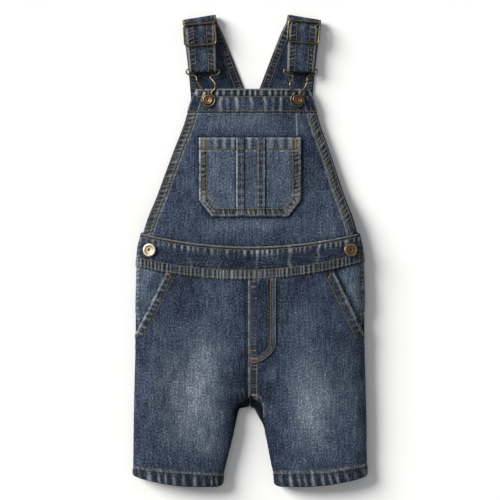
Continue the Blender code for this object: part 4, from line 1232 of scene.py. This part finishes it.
def bib():
    v = np.linspace(0, 1, 118)[:, None]
    reach = np.linspace(-1, 1, 164)[None, :]
    reach = np.sign(reach) * (1 - (1 - np.abs(reach)) ** 1.15)
    level = (1 - v) * waist_top(BIB_FOOT_HALF * reach) + v * BIB_TOP_Y
    x = bib_centre(level) + reach * read(BIB, "half_width", level)
    y = (1 - v) * (waist_top(x) + GAP) + v * BIB_TOP_Y
    cloth = Cloth(np.stack([x, y, front_height(x, y)], -1), 0.27)
    x, y = cloth.x, cloth.y
    for side in SIDES.values():
        s, left = along(x, y, bib_edge(side))
        into = left * side
        cloth.strip(s, into, 11.0, 0.5, 0.65, 5.2, 141 + side, slant=0.55 * side, worn=0.34,
                    edge=0.30, dark=0.24)
        cloth.rub += 0.30 * bump(into - 11.6, 1.0) + 0.16 * bump(into - 8.0, 1.0)
        cloth.puckers(s, into - 11.0, 3.5, 0.35, 8.0, 145 + side, worn=0.22)
    foot = y - waist_top(x) - GAP
    cloth.puckers(x, foot, 5.0, 0.45, 7.0, 151, worn=0.30, shade=0.16)
    # Painted shade along the bib's foot, in the crease where it meets the waistband's top edge
    cloth.tone_and_painted_light -= 0.12 * bump(foot, 2.2)
    below_band = BIB_BAND_FOOT_Y - y
    cloth.puckers(x, below_band, 4.0, 0.4, 9.0, 155, worn=0.55)
    cloth.rub += 0.25 * bump(below_band - 1.2, 1.1) * (below_band > 0)
    # Under the pocket: darker where the patch shades it, and a worn line beside its right edge
    _, off = along(x, y, [(53, 158), (54, 132)])
    cloth.rub += 0.5 * bump(off, 0.9)
    patch = patch_depth(x, y)
    cloth.tone_and_painted_light -= 0.22 * bump(patch + 1.2, 2.4)
    hidden = smooth(0.5, 2.5, patch)
    cloth.lift -= 0.3 * hidden
    return sew("bib", cloth)


def bib_top_band():
    y = np.linspace(BIB_BAND_FOOT_Y, BIB_TOP_Y, 30)[:, None]
    reach = np.linspace(-1, 1, 150)[None, :]
    x = bib_centre(y) + reach * read(BIB, "half_width", y)
    cloth = Cloth(on_front(x, y * np.ones_like(x), BIB_BAND_THICK + LIE), 0.15,
                  thick=BIB_BAND_THICK)
    x, y = cloth.x, cloth.y
    top = BIB_TOP_Y - y
    foot = y - BIB_BAND_FOOT_Y
    cloth.rub += 0.50 * bump(top - 0.4, 0.6)
    crest = ladder(x, 7.0, 161)
    row = (1 - smooth(7.6, 9.0, top)) * smooth(0.5, 1.8, top)
    belly = np.sin(np.pi * np.clip(top / 9, 0.1, 0.9))
    cloth.bars(row, crest, 0.75, 0.80 * belly, power=3, dark=0.22, warm=0.5)
    cloth.groove(top - 8.7, 0.8, 0.35)
    cloth.groove(foot - 1.4, 0.8, 0.25)
    hang = smooth(8.5, 10.0, top)
    for at, strength in ((-33.7, 0.55), (-15.5, 0.62), (1.5, 0.45), (17.5, 0.5), (36.1, 0.45),
                         (-25.0, 0.22), (-7.0, 0.2), (26.0, 0.25)):
        line = x - at - 1.2 * drift(y / 7.0, int(at) + 300)
        taper = 1 - 0.5 * smooth(10, 24, top)
        cloth.rub += strength * bump(line, 2.0) * hang * taper
        cloth.lift += 0.5 * bump(line, 2.3) * hang * taper
        cloth.tone_and_painted_light += 0.08 * bump(line, 5.0) * hang
    cloth.puckers(x, foot - 1.5, 4.0, 0.3, 9.0, 163, worn=0.2)
    for side in SIDES.values():
        half = read(BIB, "half_width", y)
        into = half - side * (x - bib_centre(y))
        cloth.rub += 0.34 * bump(into - 0.6, 0.7) + 0.30 * bump(into - 11.5, 0.9)
        cloth.tone_and_painted_light -= 0.12 * (1 - smooth(10.0, 11.5, into))
        cloth.rub += 0.25 * bump(into - 6.0, 1.3) * ladder(y, 9.0, 167)
    return sew("bib_top_band", cloth)


PATCH_OUTLINE = [
    (-PATCH_HALF, PATCH_TOP_Y), (-PATCH_HALF, PATCH_FOOT_Y + PATCH_CHAMFER),
    (-PATCH_FOOT_HALF, PATCH_FOOT_Y), (PATCH_FOOT_HALF, PATCH_FOOT_Y),
    (PATCH_HALF, PATCH_FOOT_Y + PATCH_CHAMFER), (PATCH_HALF, PATCH_TOP_Y),
]


def patch_depth(x, y):
    """How far inside the bib pocket's sides and foot a place lies, or outside where negative."""
    inside = np.minimum(PATCH_HALF - np.abs(x), y - PATCH_FOOT_Y)
    fall = np.array([PATCH_CHAMFER, PATCH_HALF - PATCH_FOOT_HALF])
    fall = fall / np.linalg.norm(fall)
    corner = ((PATCH_HALF - np.abs(x)) * fall[0] + (y - PATCH_FOOT_Y - PATCH_CHAMFER) * fall[1])
    inside = np.minimum(inside, corner)
    return np.where(y > PATCH_TOP_Y, np.minimum(inside, PATCH_TOP_Y - y), inside)


def bib_pocket():
    y = PATCH_FOOT_Y + (PATCH_TOP_Y - PATCH_FOOT_Y) * np.linspace(0, 1, 82)[:, None]
    cut = np.maximum(0.0, 1 - (y - PATCH_FOOT_Y) / PATCH_CHAMFER)
    half = PATCH_HALF - (PATCH_HALF - PATCH_FOOT_HALF) * cut
    x = half * np.linspace(-1, 1, 104)[None, :]
    cloth = Cloth(on_front(x, y * np.ones_like(x), DENIM + LIE), 0.46)
    x, y = cloth.x, cloth.y
    s, left = along(x, y, PATCH_OUTLINE)
    into = np.abs(left)
    cloth.strip(s, into, 8.2, 0.25, 0.6, 5.4, 171, slant=0.3, worn=0.36, edge=0.95, dark=0.20)
    cloth.tone_and_painted_light -= 0.16 * (1 - smooth(7.8, 9.4, into))
    # Turned top hem with light and dark blotches, and a worn line under its stitches
    top = PATCH_TOP_Y - y
    hem = 1 - smooth(12.2, 13.4, top)
    crest = ladder(x, 10.5, 175)
    cloth.lift += hem * (0.5 + 0.6 * (crest - 0.5) * smooth(0, 3, top))
    cloth.rub += hem * 0.46 * crest ** 2 + 0.28 * bump(top - 0.5, 0.7)
    cloth.tone_and_painted_light -= hem * 0.22 * (1.1 - crest)
    cloth.rub += 0.50 * bump(top - 14.8, 0.8) * ladder(x, 5.0, 177)
    cloth.groove(top - 12.8, 0.8, 0.3)
    cloth.puckers(x, top - 14.5, 5.0, 0.4, 9.0, 179, worn=0.30)
    for x_in, x_out in ((-PATCH_FOOT_HALF, -PATCH_HALF), (PATCH_FOOT_HALF, PATCH_HALF)):
        _, off = along(x, y, [(x_in, PATCH_FOOT_Y + 8), (x_out * 0.9, PATCH_FOOT_Y + 24)])
        cloth.rub += 0.55 * bump(np.abs(off) - 3, 2.6) * ladder(x + y, 4.4, 181) ** 2
    for low_x, high_x in PATCH_STRIPS.values():
        under = smooth(low_x - 0.5, low_x + 1, x) * (1 - smooth(high_x - 1, high_x + 0.5, x))
        cloth.lift -= 0.35 * under
        beside = low_x - 1.2 if low_x < 0 else high_x + 1.2
        cloth.tone_and_painted_light -= 0.32 * bump(x - beside, 1.2)
    return sew("bib_pocket", cloth)


def pocket_strip(label, edges):
    y = np.linspace(PATCH_FOOT_Y, PATCH_TOP_Y, 84)[:, None]
    x = np.linspace(*edges, 10)[None, :]
    cloth = Cloth(on_front(x * np.ones_like(y), y * np.ones_like(x),
                           DENIM + PATCH_STRIP_THICK + 2 * LIE), 0.42, thick=PATCH_STRIP_THICK)
    x, y = cloth.x, cloth.y
    outer, inner = (edges[0], edges[1]) if label == "left" else (edges[1], edges[0])
    crest = ladder(y, 8.4, 191 if label == "left" else 197)
    cloth.lift += 0.45 * (crest - 0.5)
    cloth.tone_and_painted_light -= 0.26 * (1 - crest)
    cloth.rub += 0.20 * crest ** 2 + 0.8 * bump(x - outer, 0.9) * (0.6 + 0.4 * drift(y / 4, 9))
    cloth.rub += 0.12 * bump(x - inner, 1.0)
    top = PATCH_TOP_Y - y
    cloth.lift += 0.5 * (1 - smooth(12.2, 13.4, top))
    return sew("pocket_strip_" + label, cloth)


def back_bib():
    y = np.linspace(BACK_WAIST_TOP_Y + GAP, FORK_Y - GAP, 60)[:, None]
    half = read(BACK_BIB, "half_width", y)
    lean = STRAP_AXIS_X * smooth(20, FORK_Y, y)
    x = lean + half * np.linspace(-1, 1, 64)[None, :]
    cloth = Cloth(np.stack([x, y * np.ones_like(x), np.zeros_like(x)], -1), 0.25, swayed=False,
                  up=False)
    into = read(BACK_BIB, "half_width", cloth.y) - np.abs(cloth.x)
    crest = ladder(cloth.y, 6.0, 201)
    strip = 1 - smooth(10, 12, into)
    cloth.lift -= strip * 0.3 * (1 - crest)
    cloth.rub += strip * 0.4 * crest ** 2
    return sew("back_bib", cloth)


def turned(row, radius, toward, low_z):
    """Rows round a fold: the row's line is its outermost edge in plan."""
    run = Vector((row.outer_x - row.inner_x, row.outer_y - row.inner_y))
    out = Vector((-run.y, run.x)).normalized() * toward
    inset = radius + STRAP_THICK / 2
    made = []
    for k in range(ARC_STEPS + 1):
        turn = math.pi * k / ARC_STEPS
        shift = out * (radius * math.sin(turn) - inset)
        z = low_z + radius * (1 - math.cos(turn))
        made.append(StrapRow(row.inner_x + shift.x, row.inner_y + shift.y,
                             row.outer_x + shift.x, row.outer_y + shift.y, z))
    return made


def spread_rows(rows, step):
    """Rows at an even step along a smooth path through the given ones."""
    rows = np.array(rows, float)
    middle_xy = (rows[:, :2] + rows[:, 2:4]) / 2
    run = run_along(np.concatenate([middle_xy, rows[:, 4:]], 1))
    places = np.linspace(0, run[-1], int(run[-1] / step))
    tangents = np.gradient(rows, run, axis=0)
    k = np.clip(np.searchsorted(run, places, side="right") - 1, 0, len(run) - 2)
    length = (run[k + 1] - run[k])[:, None]
    t = (places - run[k])[:, None] / length
    return blend(rows, tangents, k, length, t), places


def slid_rows(label):
    """The stretch of strap that passes through the buckle, slid along with it."""
    slid = BUCKLE_SLID[label]
    return [row._replace(inner_y=row.inner_y + slid, outer_y=row.outer_y + slid)
            for row in FRONT_STRAP[:BUCKLE_STRETCH]]


def strap(label, side):
    """Up the back, over the shoulder fold, through the buckle, round the hook and back up."""
    path = BACK_STRAP + turned(FOLD, FOLD_RADIUS, 1, 1.0) + slid_rows(label)
    path += FRONT_STRAP[BUCKLE_STRETCH:]
    path += list(reversed(turned(LOOP, LOOP_RADIUS, -1, RETURN_Z))) + RETURN_STRAP
    rows, run = spread_rows(path, 1.25)
    inner = np.stack([STRAP_AXIS_X + side * rows[:, 0], rows[:, 1], rows[:, 4]], -1)[:, None]
    outer = np.stack([STRAP_AXIS_X + side * rows[:, 2], rows[:, 3], rows[:, 4]], -1)[:, None]
    share = np.linspace(0, 1, 34)[None, :, None]
    points = inner * (1 - share) + outer * share
    cloth = Cloth(points, 0.10, swayed=False, thick=STRAP_THICK)
    # The face that is up on the front is the shell's outside
    front = int(len(rows) * 0.62)
    if cloth.normals[front, 15, 2] < 0:
        cloth.normals = -cloth.normals
        cloth.turned = not cloth.turned
    width = np.linalg.norm(outer - inner, axis=-1)
    into = share[..., 0] * width
    far = width - into
    s = np.broadcast_to(run[:, None], into.shape)
    cloth.grain = np.stack([into, s], -1)
    for depth, seed in ((into, 211 + side), (far, 215 + side)):
        crest = ladder(s + 0.3 * depth, 4.4, seed)
        strip = 1 - smooth(8.4, 9.8, depth)
        belly = np.sin(np.pi * np.clip(depth / 9.0, 0.08, 0.92)) ** 0.7
        cloth.bars(strip, crest, 0.42 * belly, 0.46 * belly, power=3, dark=0.12, warm=0.6)
        cloth.tone_and_painted_light -= 0.02 * strip
    front_part = smooth(0.30, 0.36, run / run[-1])[:, None]
    cloth.rub += 0.42 * (bump(into - 0.6, 0.7) + bump(far - 0.6, 0.7)) * front_part
    cloth.rub += 0.10 * (bump(into - 0.7, 1.0) + bump(far - 0.7, 1.0))
    streak = bump(into / width - 0.5 - 0.05 * drift(s / 9, 219), 0.10)
    cloth.rub += 0.20 * streak * front_part * (0.6 + 0.4 * drift(s / 6, 221))
    cloth.tone_and_painted_light += 0.16 * bump(into / width - 0.5, 0.2)
    body = cloth.lift + STRAP_THICK / 2
    cloth.under = -(cloth.lift + STRAP_THICK / 2)
    cloth.lift = body
    return sew("strap_" + label, cloth)


# Metal


def closed_curve(points, per_span):
    """Points along a smooth closed curve through the given ones."""
    count = len(points)
    made = []
    for k in range(count):
        a, b, c, d = (points[(k + j) % count] for j in (-1, 0, 1, 2))
        for j in range(per_span):
            t = j / per_span
            made.append(0.5 * (2 * b + (c - a) * t + (2 * a - 5 * b + 4 * c - d) * t * t
                               + (3 * b - a - 3 * c + d) * t ** 3))
    return made


def wire_arrays(line, radius, closed, sides=14):
    """Points and quads for a round wire along a line."""
    line = np.array([tuple(p) for p in line], float)
    if closed:
        forward = unit(np.roll(line, -1, 0) - np.roll(line, 1, 0))
    else:
        forward = unit(np.gradient(line, axis=0))
    up = np.zeros_like(line)
    guide = np.array([0.0, 0.0, 1.0])
    if abs(forward[0] @ guide) > 0.9:
        guide = np.array([0.0, 1.0, 0.0])
    for k, ahead in enumerate(forward):
        guide = guide - ahead * (guide @ ahead)
        guide = guide / np.linalg.norm(guide)
        up[k] = guide
    across = np.cross(forward, up)
    turns = 2 * np.pi * np.arange(sides) / sides
    offset = (np.cos(turns)[None, :, None] * up[:, None]
              + np.sin(turns)[None, :, None] * across[:, None])
    points = (line[:, None] + offset * radius).reshape(-1, 3)
    count = len(line)
    number = np.arange(count * sides).reshape(count, sides)
    ahead = np.roll(number, -1, 0)
    beside = np.roll(number, -1, 1)
    corner = np.roll(ahead, -1, 1)
    quads = np.stack([number, beside, corner, ahead], -1)
    if not closed:
        quads = quads[:-1]
    quads = quads.reshape(-1, 4)
    return points, quads


def ends_of(points, quads, sides=14):
    """Closes an open wire with a fan of quads at each end."""
    return np.concatenate([quads, fan(0, sides, True), fan(len(points) - sides, sides, False)])


def metal_piece(name, parts):
    """One brass piece from several wires, unevenly grimy and coppery."""
    points, quads = joined(parts)
    x, y = points[:, 0], points[:, 1]
    values = {"grime": 0.42 + 0.30 * cloud(x, y, 4.0, 231),
              "copper": 0.25 + 0.25 * cloud(x, y, 7.0, 233)}
    mesh = mesh_from(name, points, quads, values)
    return add_piece(name + METAL_PIECE, mesh, [WIRE_BRASS], [name])


def buckle(label, side):
    """A rounded wire frame and its dropped middle bar."""
    half_w, half_h = BUCKLE_WIDTH / 2, BUCKLE_HEIGHT / 2
    frame_line = []
    for corner, (sx, sy) in enumerate(((1, 1), (-1, 1), (-1, -1), (1, -1))):
        middle = Vector((sx * (half_w - BUCKLE_CORNER), sy * (half_h - BUCKLE_CORNER), 0))
        for step in range(9):
            turn = math.radians(90 * corner + 11.25 * step)
            frame_line.append(middle + BUCKLE_CORNER * Vector((math.cos(turn), math.sin(turn), 0)))
    drop = BUCKLE_BAR_DROP
    bar_line = [Vector((-half_w, 0, 0)), Vector((-half_w, 0, -drop * 0.7)),
                Vector((-half_w + 0.6, 0, -drop)), Vector((half_w - 0.6, 0, -drop)),
                Vector((half_w, 0, -drop * 0.7)), Vector((half_w, 0, 0))]
    turn = Matrix.Rotation(math.radians(-BUCKLE_TURN * side), 4, "Z")
    centre = Vector((STRAP_AXIS_X + side * BUCKLE_CENTRE[0], BUCKLE_CENTRE[1] + BUCKLE_SLID[label],
                     BUCKLE_Z))
    frame_line = [centre + turn @ p for p in frame_line]
    bar_line = [centre + turn @ p for p in bar_line]
    bar_points, bar_quads = wire_arrays(bar_line, WIRE_RADIUS * 0.85, False)
    wires = [wire_arrays(frame_line, WIRE_RADIUS, True),
             (bar_points, ends_of(bar_points, bar_quads))]
    return metal_piece("buckle_" + label, wires)


def band_height(x, y):
    """Height of what a hook lies on: the bib's turned top edge."""
    return float(on_front(x, min(y, BIB_TOP_Y), BIB_BAND_THICK + LIE)[2])


def hook(label, side):
    """One closed wire: round the button, up both shoulders and through the strap's loop."""
    centre = Vector((BIB_BUTTON_LEAN + side * BIB_BUTTON[0], BIB_BUTTON[1], 0))
    lie = GAP + HOOK_WIRE + 0.15
    ring = []
    for k in range(13):
        turn = math.radians(90 + RING_OPEN + (360 - 2 * RING_OPEN) * k / 12)
        ring.append(Vector((centre.x + RING_RADIUS * math.cos(turn),
                            centre.y + RING_RADIUS * math.sin(turn), ON_BAND)))
    strap_x = STRAP_AXIS_X + side * (LOOP.inner_x + LOOP.outer_x) / 2
    left, right = [], []
    for row in HOOK_SHOULDER:
        centre_x = centre.x + (strap_x - centre.x) * float(smooth(12, 30, row.y))
        left.append(Vector((centre_x + row.x, centre.y + row.y, row.z)))
        right.append(Vector((centre_x - row.x, centre.y + row.y, row.z)))
    line = ring + right + list(reversed(left))
    for point in line:
        if point.z == ON_BAND:
            point.z = band_height(point.x, point.y) + lie
    path = closed_curve(line, 6)
    return metal_piece("hook_" + label, [wire_arrays(path, HOOK_WIRE, True)])


def button(name, x, y, radius, lift, finish, dull):
    """A turned tack button with its rings, tilted to lie on the cloth beneath it."""
    rows = BUTTON_PROFILE
    shares = np.array([row.share for row in rows]) * radius
    heights = np.array([row.z for row in rows])
    grimes = np.clip(np.array([row.grime for row in rows]) + dull, 0, 1)
    coppers = np.array([row.copper for row in rows])
    turns = 2 * np.pi * np.arange(BUTTON_STEPS) / BUTTON_STEPS
    ring = np.stack([np.cos(turns), np.sin(turns)], -1)
    levels = np.broadcast_to(heights[:, None, None], (len(rows), BUTTON_STEPS, 1))
    points = np.concatenate([ring[None] * shares[:, None, None], levels], -1)
    points[0, :, :2] = ring * 0.02
    points[-1, :, :2] = ring * 0.02
    base = on_front(x, y, lift)
    tip = on_front(x, y, lift + 1.0)
    turn = np.array(Vector(tip - base).to_track_quat("Z", "Y").to_matrix())
    points = points.reshape(-1, 3) @ turn.T + base
    number = np.arange(len(rows) * BUTTON_STEPS).reshape(len(rows), BUTTON_STEPS)
    beside = np.roll(number, -1, 1)
    quads = np.stack([number[:-1], number[1:], beside[1:], beside[:-1]], -1).reshape(-1, 4)
    quads = np.concatenate([quads, fan(0, BUTTON_STEPS, False),
                            fan((len(rows) - 1) * BUTTON_STEPS, BUTTON_STEPS, True)])
    values = {"grime": np.repeat(grimes, BUTTON_STEPS), "copper": np.repeat(coppers, BUTTON_STEPS)}
    mesh = mesh_from(name, points, quads, values)
    return add_piece(name + METAL_PIECE, mesh, [finish], [name])


# Sewing


def stitches_along(line, tone, pitch=THREAD_PITCH, length=THREAD_LENGTH, seed=1):
    """Short straight threads end to end along a line of points in plan."""
    line = np.array(line, float)
    run = run_along(line)
    count = max(1, int(run[-1] / pitch))
    rng = np.random.default_rng(seed)
    middles = (np.arange(count) + 0.5) * run[-1] / count + rng.uniform(-0.12, 0.12, count)
    ends = []
    for shift in (-length / 2, length / 2):
        places = np.clip(middles + shift, 0, run[-1])
        ends.append(np.stack([np.interp(places, run, line[:, k]) for k in (0, 1)], -1))
    tones = np.clip(tone + rng.uniform(-0.1, 0.1, count), 0, 1)
    return np.concatenate([ends[0], ends[1], tones[:, None]], 1)


def bar_tack(x, y, length, width, turn, tone):
    """A dense bar of threads side by side, along a direction in degrees."""
    count = max(4, int(length / 0.85))
    along_way = np.array([math.cos(math.radians(turn)), math.sin(math.radians(turn))])
    across = np.array([-along_way[1], along_way[0]])
    rows = []
    for k in range(count):
        middle = np.array([x, y]) + along_way * (k / (count - 1) - 0.5) * length
        lean = along_way * 0.35 * (-1) ** k
        a, b = middle - across * width / 2 - lean, middle + across * width / 2 + lean
        rows.append([a[0], a[1], b[0], b[1], tone])
    return np.array(rows)


def threads(name, rows, tree, radius=THREAD_RADIUS, from_below=False):
    """One piece of many threads, each a small capsule that dips into the cloth at its ends."""
    rows = np.concatenate(rows)
    shares = np.array([0.0, 0.16, 0.5, 0.84, 1.0])
    heights = np.array([-0.25, 0.12, 0.26, 0.12, -0.25])
    widths = np.array([0.35, 0.92, 1.0, 0.92, 0.35]) * radius
    part = shares[None, :, None]
    plan = rows[:, None, :2] * (1 - part) + rows[:, None, 2:4] * part
    spots = np.zeros((*plan.shape[:2], 3))
    outs = np.zeros_like(spots)
    kept = np.ones(len(rows), bool)
    start_z, fall = (-50.0, Vector((0, 0, 1))) if from_below else (80.0, Vector((0, 0, -1)))
    for i, thread in enumerate(plan):
        for j, (px, py) in enumerate(thread):
            hit, normal, _, _ = tree.ray_cast(Vector((px, py, start_z)), fall)
            if hit is None:
                kept[i] = False
                break
            spots[i, j] = hit
            outs[i, j] = normal
    # A thread that would span two layers is left out
    drop = np.abs(np.diff(spots[..., 2], axis=1)).max(axis=1)
    kept &= drop < 1.5
    spots, outs, tones = spots[kept], unit(outs[kept].mean(axis=1, keepdims=True)), rows[kept, 4]
    spots = spots + outs * heights[None, :, None] * (0.2 if from_below else 1.0)
    forward = unit(spots[:, -1:] - spots[:, :1])
    across = unit(np.cross(forward, outs))
    outs = np.cross(across, forward)
    # Threads near the ground lie on it
    spots[..., 2] = np.maximum(spots[..., 2], radius)
    sides = 6
    turns = 2 * np.pi * np.arange(sides) / sides
    circle = (np.cos(turns)[None, None, :, None] * across[:, :, None]
              + np.sin(turns)[None, None, :, None] * outs[:, :, None])
    points = (spots[:, :, None] + circle * widths[None, :, None, None]).reshape(-1, 3)
    number = np.arange(len(points)).reshape(len(spots), len(shares), sides)
    beside = np.roll(number, -1, 2)
    quads = np.stack([number[:, :-1], number[:, 1:], beside[:, 1:], beside[:, :-1]], -1)
    quads = quads.reshape(-1, 4)
    caps = []
    for ring, flip in ((number[:, 0], True), (number[:, -1], False)):
        for a, b, c, d in ((0, 1, 2, 3), (0, 3, 4, 5)):
            cap = np.stack([ring[:, a], ring[:, b], ring[:, c], ring[:, d]], -1)
            caps.append(cap[:, ::-1] if flip else cap)
    quads = np.concatenate([quads, *caps])
    values = {"tone": np.repeat(tones, len(shares) * sides)}
    mesh = mesh_from(name, points, quads[:, ::-1], values)
    return add_piece(name, mesh, [THREAD])


def offset_line(line, shift):
    """A line of points moved to its left by a shift."""
    line = np.array(line, float)
    forward = unit(np.gradient(line, axis=0))
    return line + np.stack([-forward[:, 1], forward[:, 0]], -1) * shift


def waist_curve(form, shift, half):
    x = np.linspace(-half, half, 60)
    return np.stack([x, form(x) + shift], -1)


def patch_frame(inset):
    """The bib pocket's outline, moved in by an inset."""
    slope = math.atan2(PATCH_CHAMFER, PATCH_HALF - PATCH_FOOT_HALF)
    cut = inset * math.tan(slope / 2)
    side_cut = inset * math.tan((math.pi / 2 - slope) / 2)
    half, foot_half = PATCH_HALF - inset, PATCH_FOOT_HALF - cut
    foot, corner = PATCH_FOOT_Y + inset, PATCH_FOOT_Y + PATCH_CHAMFER + side_cut
    return [(-half, PATCH_TOP_Y - 1), (-half, corner), (-foot_half, foot), (foot_half, foot),
            (half, corner), (half, PATCH_TOP_Y - 1)]


def sew_all(tree):
    """Every line of topstitching and every bar-tack."""
    legs, body, chest = [], [], []
    for label, side in SIDES.items():
        legs.append(stitches_along(HEM_STITCH[label], TAN + 0.1, seed=301))
        edge = [POCKET_TOP, POCKET_FOOT]
        for shift, tone in ((2.2, TAN), (10.0, TAN)):
            line = [(side * (px - shift * 0.9), py - shift * 0.44) for px, py in edge]
            legs.append(stitches_along(line, tone, seed=303))
        legs.append(bar_tack(side * 91.5, -29.5, 5.5, 1.3, 62 if side > 0 else 118, ORANGE))
        legs.append(bar_tack(side * 126.0, -92.0, 5.5, 1.3, 0, GOLD))
        for into, tone in ((2.2, TAN), (9.6, TAN)):
            line = offset_line(bib_edge(side), into * side)
            chest.append(stitches_along(line[1:-4], tone, seed=307))
    legs.append(stitches_along([(0.9, -36), (0.9, -174)], TAN + 0.1, pitch=2.3, length=1.7,
                               seed=309))
    for line, tone, seed in (([(8.0, -130), (7.6, -172)], TAN, 311), (FLY_INNER, GOLD + 0.2, 313),
                             (FLY_OUTER, TAN + 0.12, 315)):
        legs.append(stitches_along(line, tone, seed=seed))
    for x, y, length, width in ((3.2, -115.0, 6.5, 1.4), (4.0, -124.2, 7.5, 1.1),
                                (4.2, -128.4, 7.5, 0.9)):
        legs.append(bar_tack(x, y, length, width, 0, ORANGE))
    for form, shift, half, tone, seed in (
            (waist_top, -3.8, 123, TAN + 0.15, 321), (waist_seam, 10.2, 126, GOLD - 0.1, 323),
            (waist_seam, 1.6, 128, GOLD - 0.1, 325), (waist_top, -1.2, 122, TAN + 0.1, 327)):
        body.append(stitches_along(waist_curve(form, shift, half), tone, seed=seed))
    for from_x, to_x, y, tone, seed in (
            (-62, 68, 176.3, GOLD - 0.05, 331), (-70, 76, 159.8, GOLD, 333),
            (-56.5, 56.5, 115.8, GOLD + 0.25, 335)):
        chest.append(stitches_along([(from_x, y), (to_x, y)], tone, seed=seed))
    for inset, tone in ((1.6, TAN + 0.08), (8.4, GOLD)):
        chest.append(stitches_along(patch_frame(inset), tone, seed=337))
    for side in SIDES.values():
        chest.append(bar_tack(side * 52.6, 122.0, 10.0, 3.6, 90, GOLD + 0.1))
    for line_x, tone in ((-9.2, GOLD + 0.15), (-13.9, TAN), (9.8, GOLD + 0.15), (15.3, TAN)):
        chest.append(stitches_along([(line_x, 40.6), (line_x, 127.4)], tone, seed=339))
    threads("stitches_legs", legs, tree)
    threads("stitches_waist", body, tree)
    threads("stitches_bib", chest, tree)
    threads("stitches_straps", strap_threads(), tree)
    hems = [stitches_along(HEM_STITCH[label], TAN + 0.1, seed=341) for label in SIDES]
    threads("stitches_back_hems", hems, tree, from_below=True)


def strap_threads():
    """Two lines down each side of the straps, in front and on the shoulders' inner edges."""
    rows = []
    for side in SIDES.values():
        for part in (FRONT_STRAP[4:] + [LOOP], FRONT_STRAP[:5]):
            for into in (1.7, 8.2, 23.4, 29.6):
                share = into / 31.2
                line = [(STRAP_AXIS_X + side * (row.inner_x + (row.outer_x - row.inner_x) * share),
                         row.inner_y + (row.outer_y - row.inner_y) * share) for row in part]
                rows.append(stitches_along(line, TAN, seed=351))
        for into in (2.0, 9.0):
            line = [(STRAP_AXIS_X + side * (row.inner_x + into), row.inner_y)
                    for row in BACK_STRAP[1:]]
            rows.append(stitches_along(line, TAN - 0.05, seed=353))
    return rows


# The photograph's view: straight down, with soft light from the left
CAMERA_LENS = 150.0
CAMERA_SENSOR = 36.0
VIEW_WIDTH = 0.575
CLOTH_LEVEL = 0.012
SUN_STRENGTH = 5.5
SUN_SOFTNESS = math.radians(32)
SUN_HEIGHT = math.radians(27)
SUN_BEARING = math.radians(150)
SKY_STRENGTH = 0.36
FLOOR_HALF = 12.0
FLOOR_Z = -0.0003


def stage():
    """Camera, light and a pale floor."""
    eye = bpy.data.cameras.new("camera")
    eye.lens = CAMERA_LENS
    eye.sensor_width = CAMERA_SENSOR
    camera = bpy.data.objects.new("camera", eye)
    height = VIEW_WIDTH * CAMERA_LENS / CAMERA_SENSOR
    camera.location = (0, 0, height + CLOTH_LEVEL)
    bpy.context.scene.collection.objects.link(camera)
    bpy.context.scene.camera = camera

    sun = bpy.data.lights.new("window", "SUN")
    sun.energy = SUN_STRENGTH
    sun.angle = SUN_SOFTNESS
    sun.color = (1.0, 0.985, 0.96)
    lamp = bpy.data.objects.new("window", sun)
    toward = Vector((math.cos(SUN_HEIGHT) * math.cos(SUN_BEARING),
                     math.cos(SUN_HEIGHT) * math.sin(SUN_BEARING), math.sin(SUN_HEIGHT)))
    lamp.rotation_euler = toward.to_track_quat("Z", "Y").to_euler()
    bpy.context.scene.collection.objects.link(lamp)

    world = bpy.data.worlds.new("studio")
    bpy.context.scene.world = world
    world.use_nodes = True
    back = world.node_tree.nodes["Background"]
    back.inputs["Color"].default_value = (0.97, 0.985, 1.0, 1.0)
    back.inputs["Strength"].default_value = SKY_STRENGTH
    bpy.context.scene.view_settings.view_transform = "Standard"

    size = FLOOR_HALF
    ground = bpy.data.meshes.new("floor")
    corners = [(-size, -size, 0), (size, -size, 0), (size, size, 0), (-size, size, 0)]
    ground.from_pydata(corners, [], [(0, 1, 2, 3)])
    floor = bpy.data.objects.new("floor", ground)
    floor.location.z = FLOOR_Z
    bpy.context.scene.collection.objects.link(floor)
    web = Web("white paper")
    ground.materials.append(web.finish({
        "Base Color": (0.9, 0.9, 0.9, 1.0), "Roughness": 0.9, "Specular IOR Level": 0.1}))


def main():
    waistband_front()
    waistband_back()
    bib()
    bib_top_band()
    bib_pocket()
    for label, edges in PATCH_STRIPS.items():
        pocket_strip(label, edges)
    back_bib()
    mock_fly()
    for label, side in SIDES.items():
        front_leg(label, side)
        back_leg(label, side)
        hip_facing(label, side)
        strap(label, side)
        buckle(label, side)
        hook(label, side)
        bib_lift = BIB_BAND_THICK + LIE + GAP
        button("bib_button_" + label, BIB_BUTTON_LEAN + side * BIB_BUTTON[0], BIB_BUTTON[1],
               BIB_BUTTON_RADIUS, bib_lift, BRONZE, 0.1)
        # The left waist button is paler and cleaner than the right one: painted reflection of the
        # lamp
        button("waist_button_" + label, side * WAIST_BUTTON[0], WAIST_BUTTON[1],
               WAIST_BUTTON_RADIUS, WAIST_LIFT + GAP, BRASS_WITH_PAINTED_REFLECTION if side < 0 else BRASS,
               -0.15 if side < 0 else 0.1)
    sew_all(BVHTree.FromPolygons(*(array.tolist() for array in joined(TOPS))))
    stage()


main()
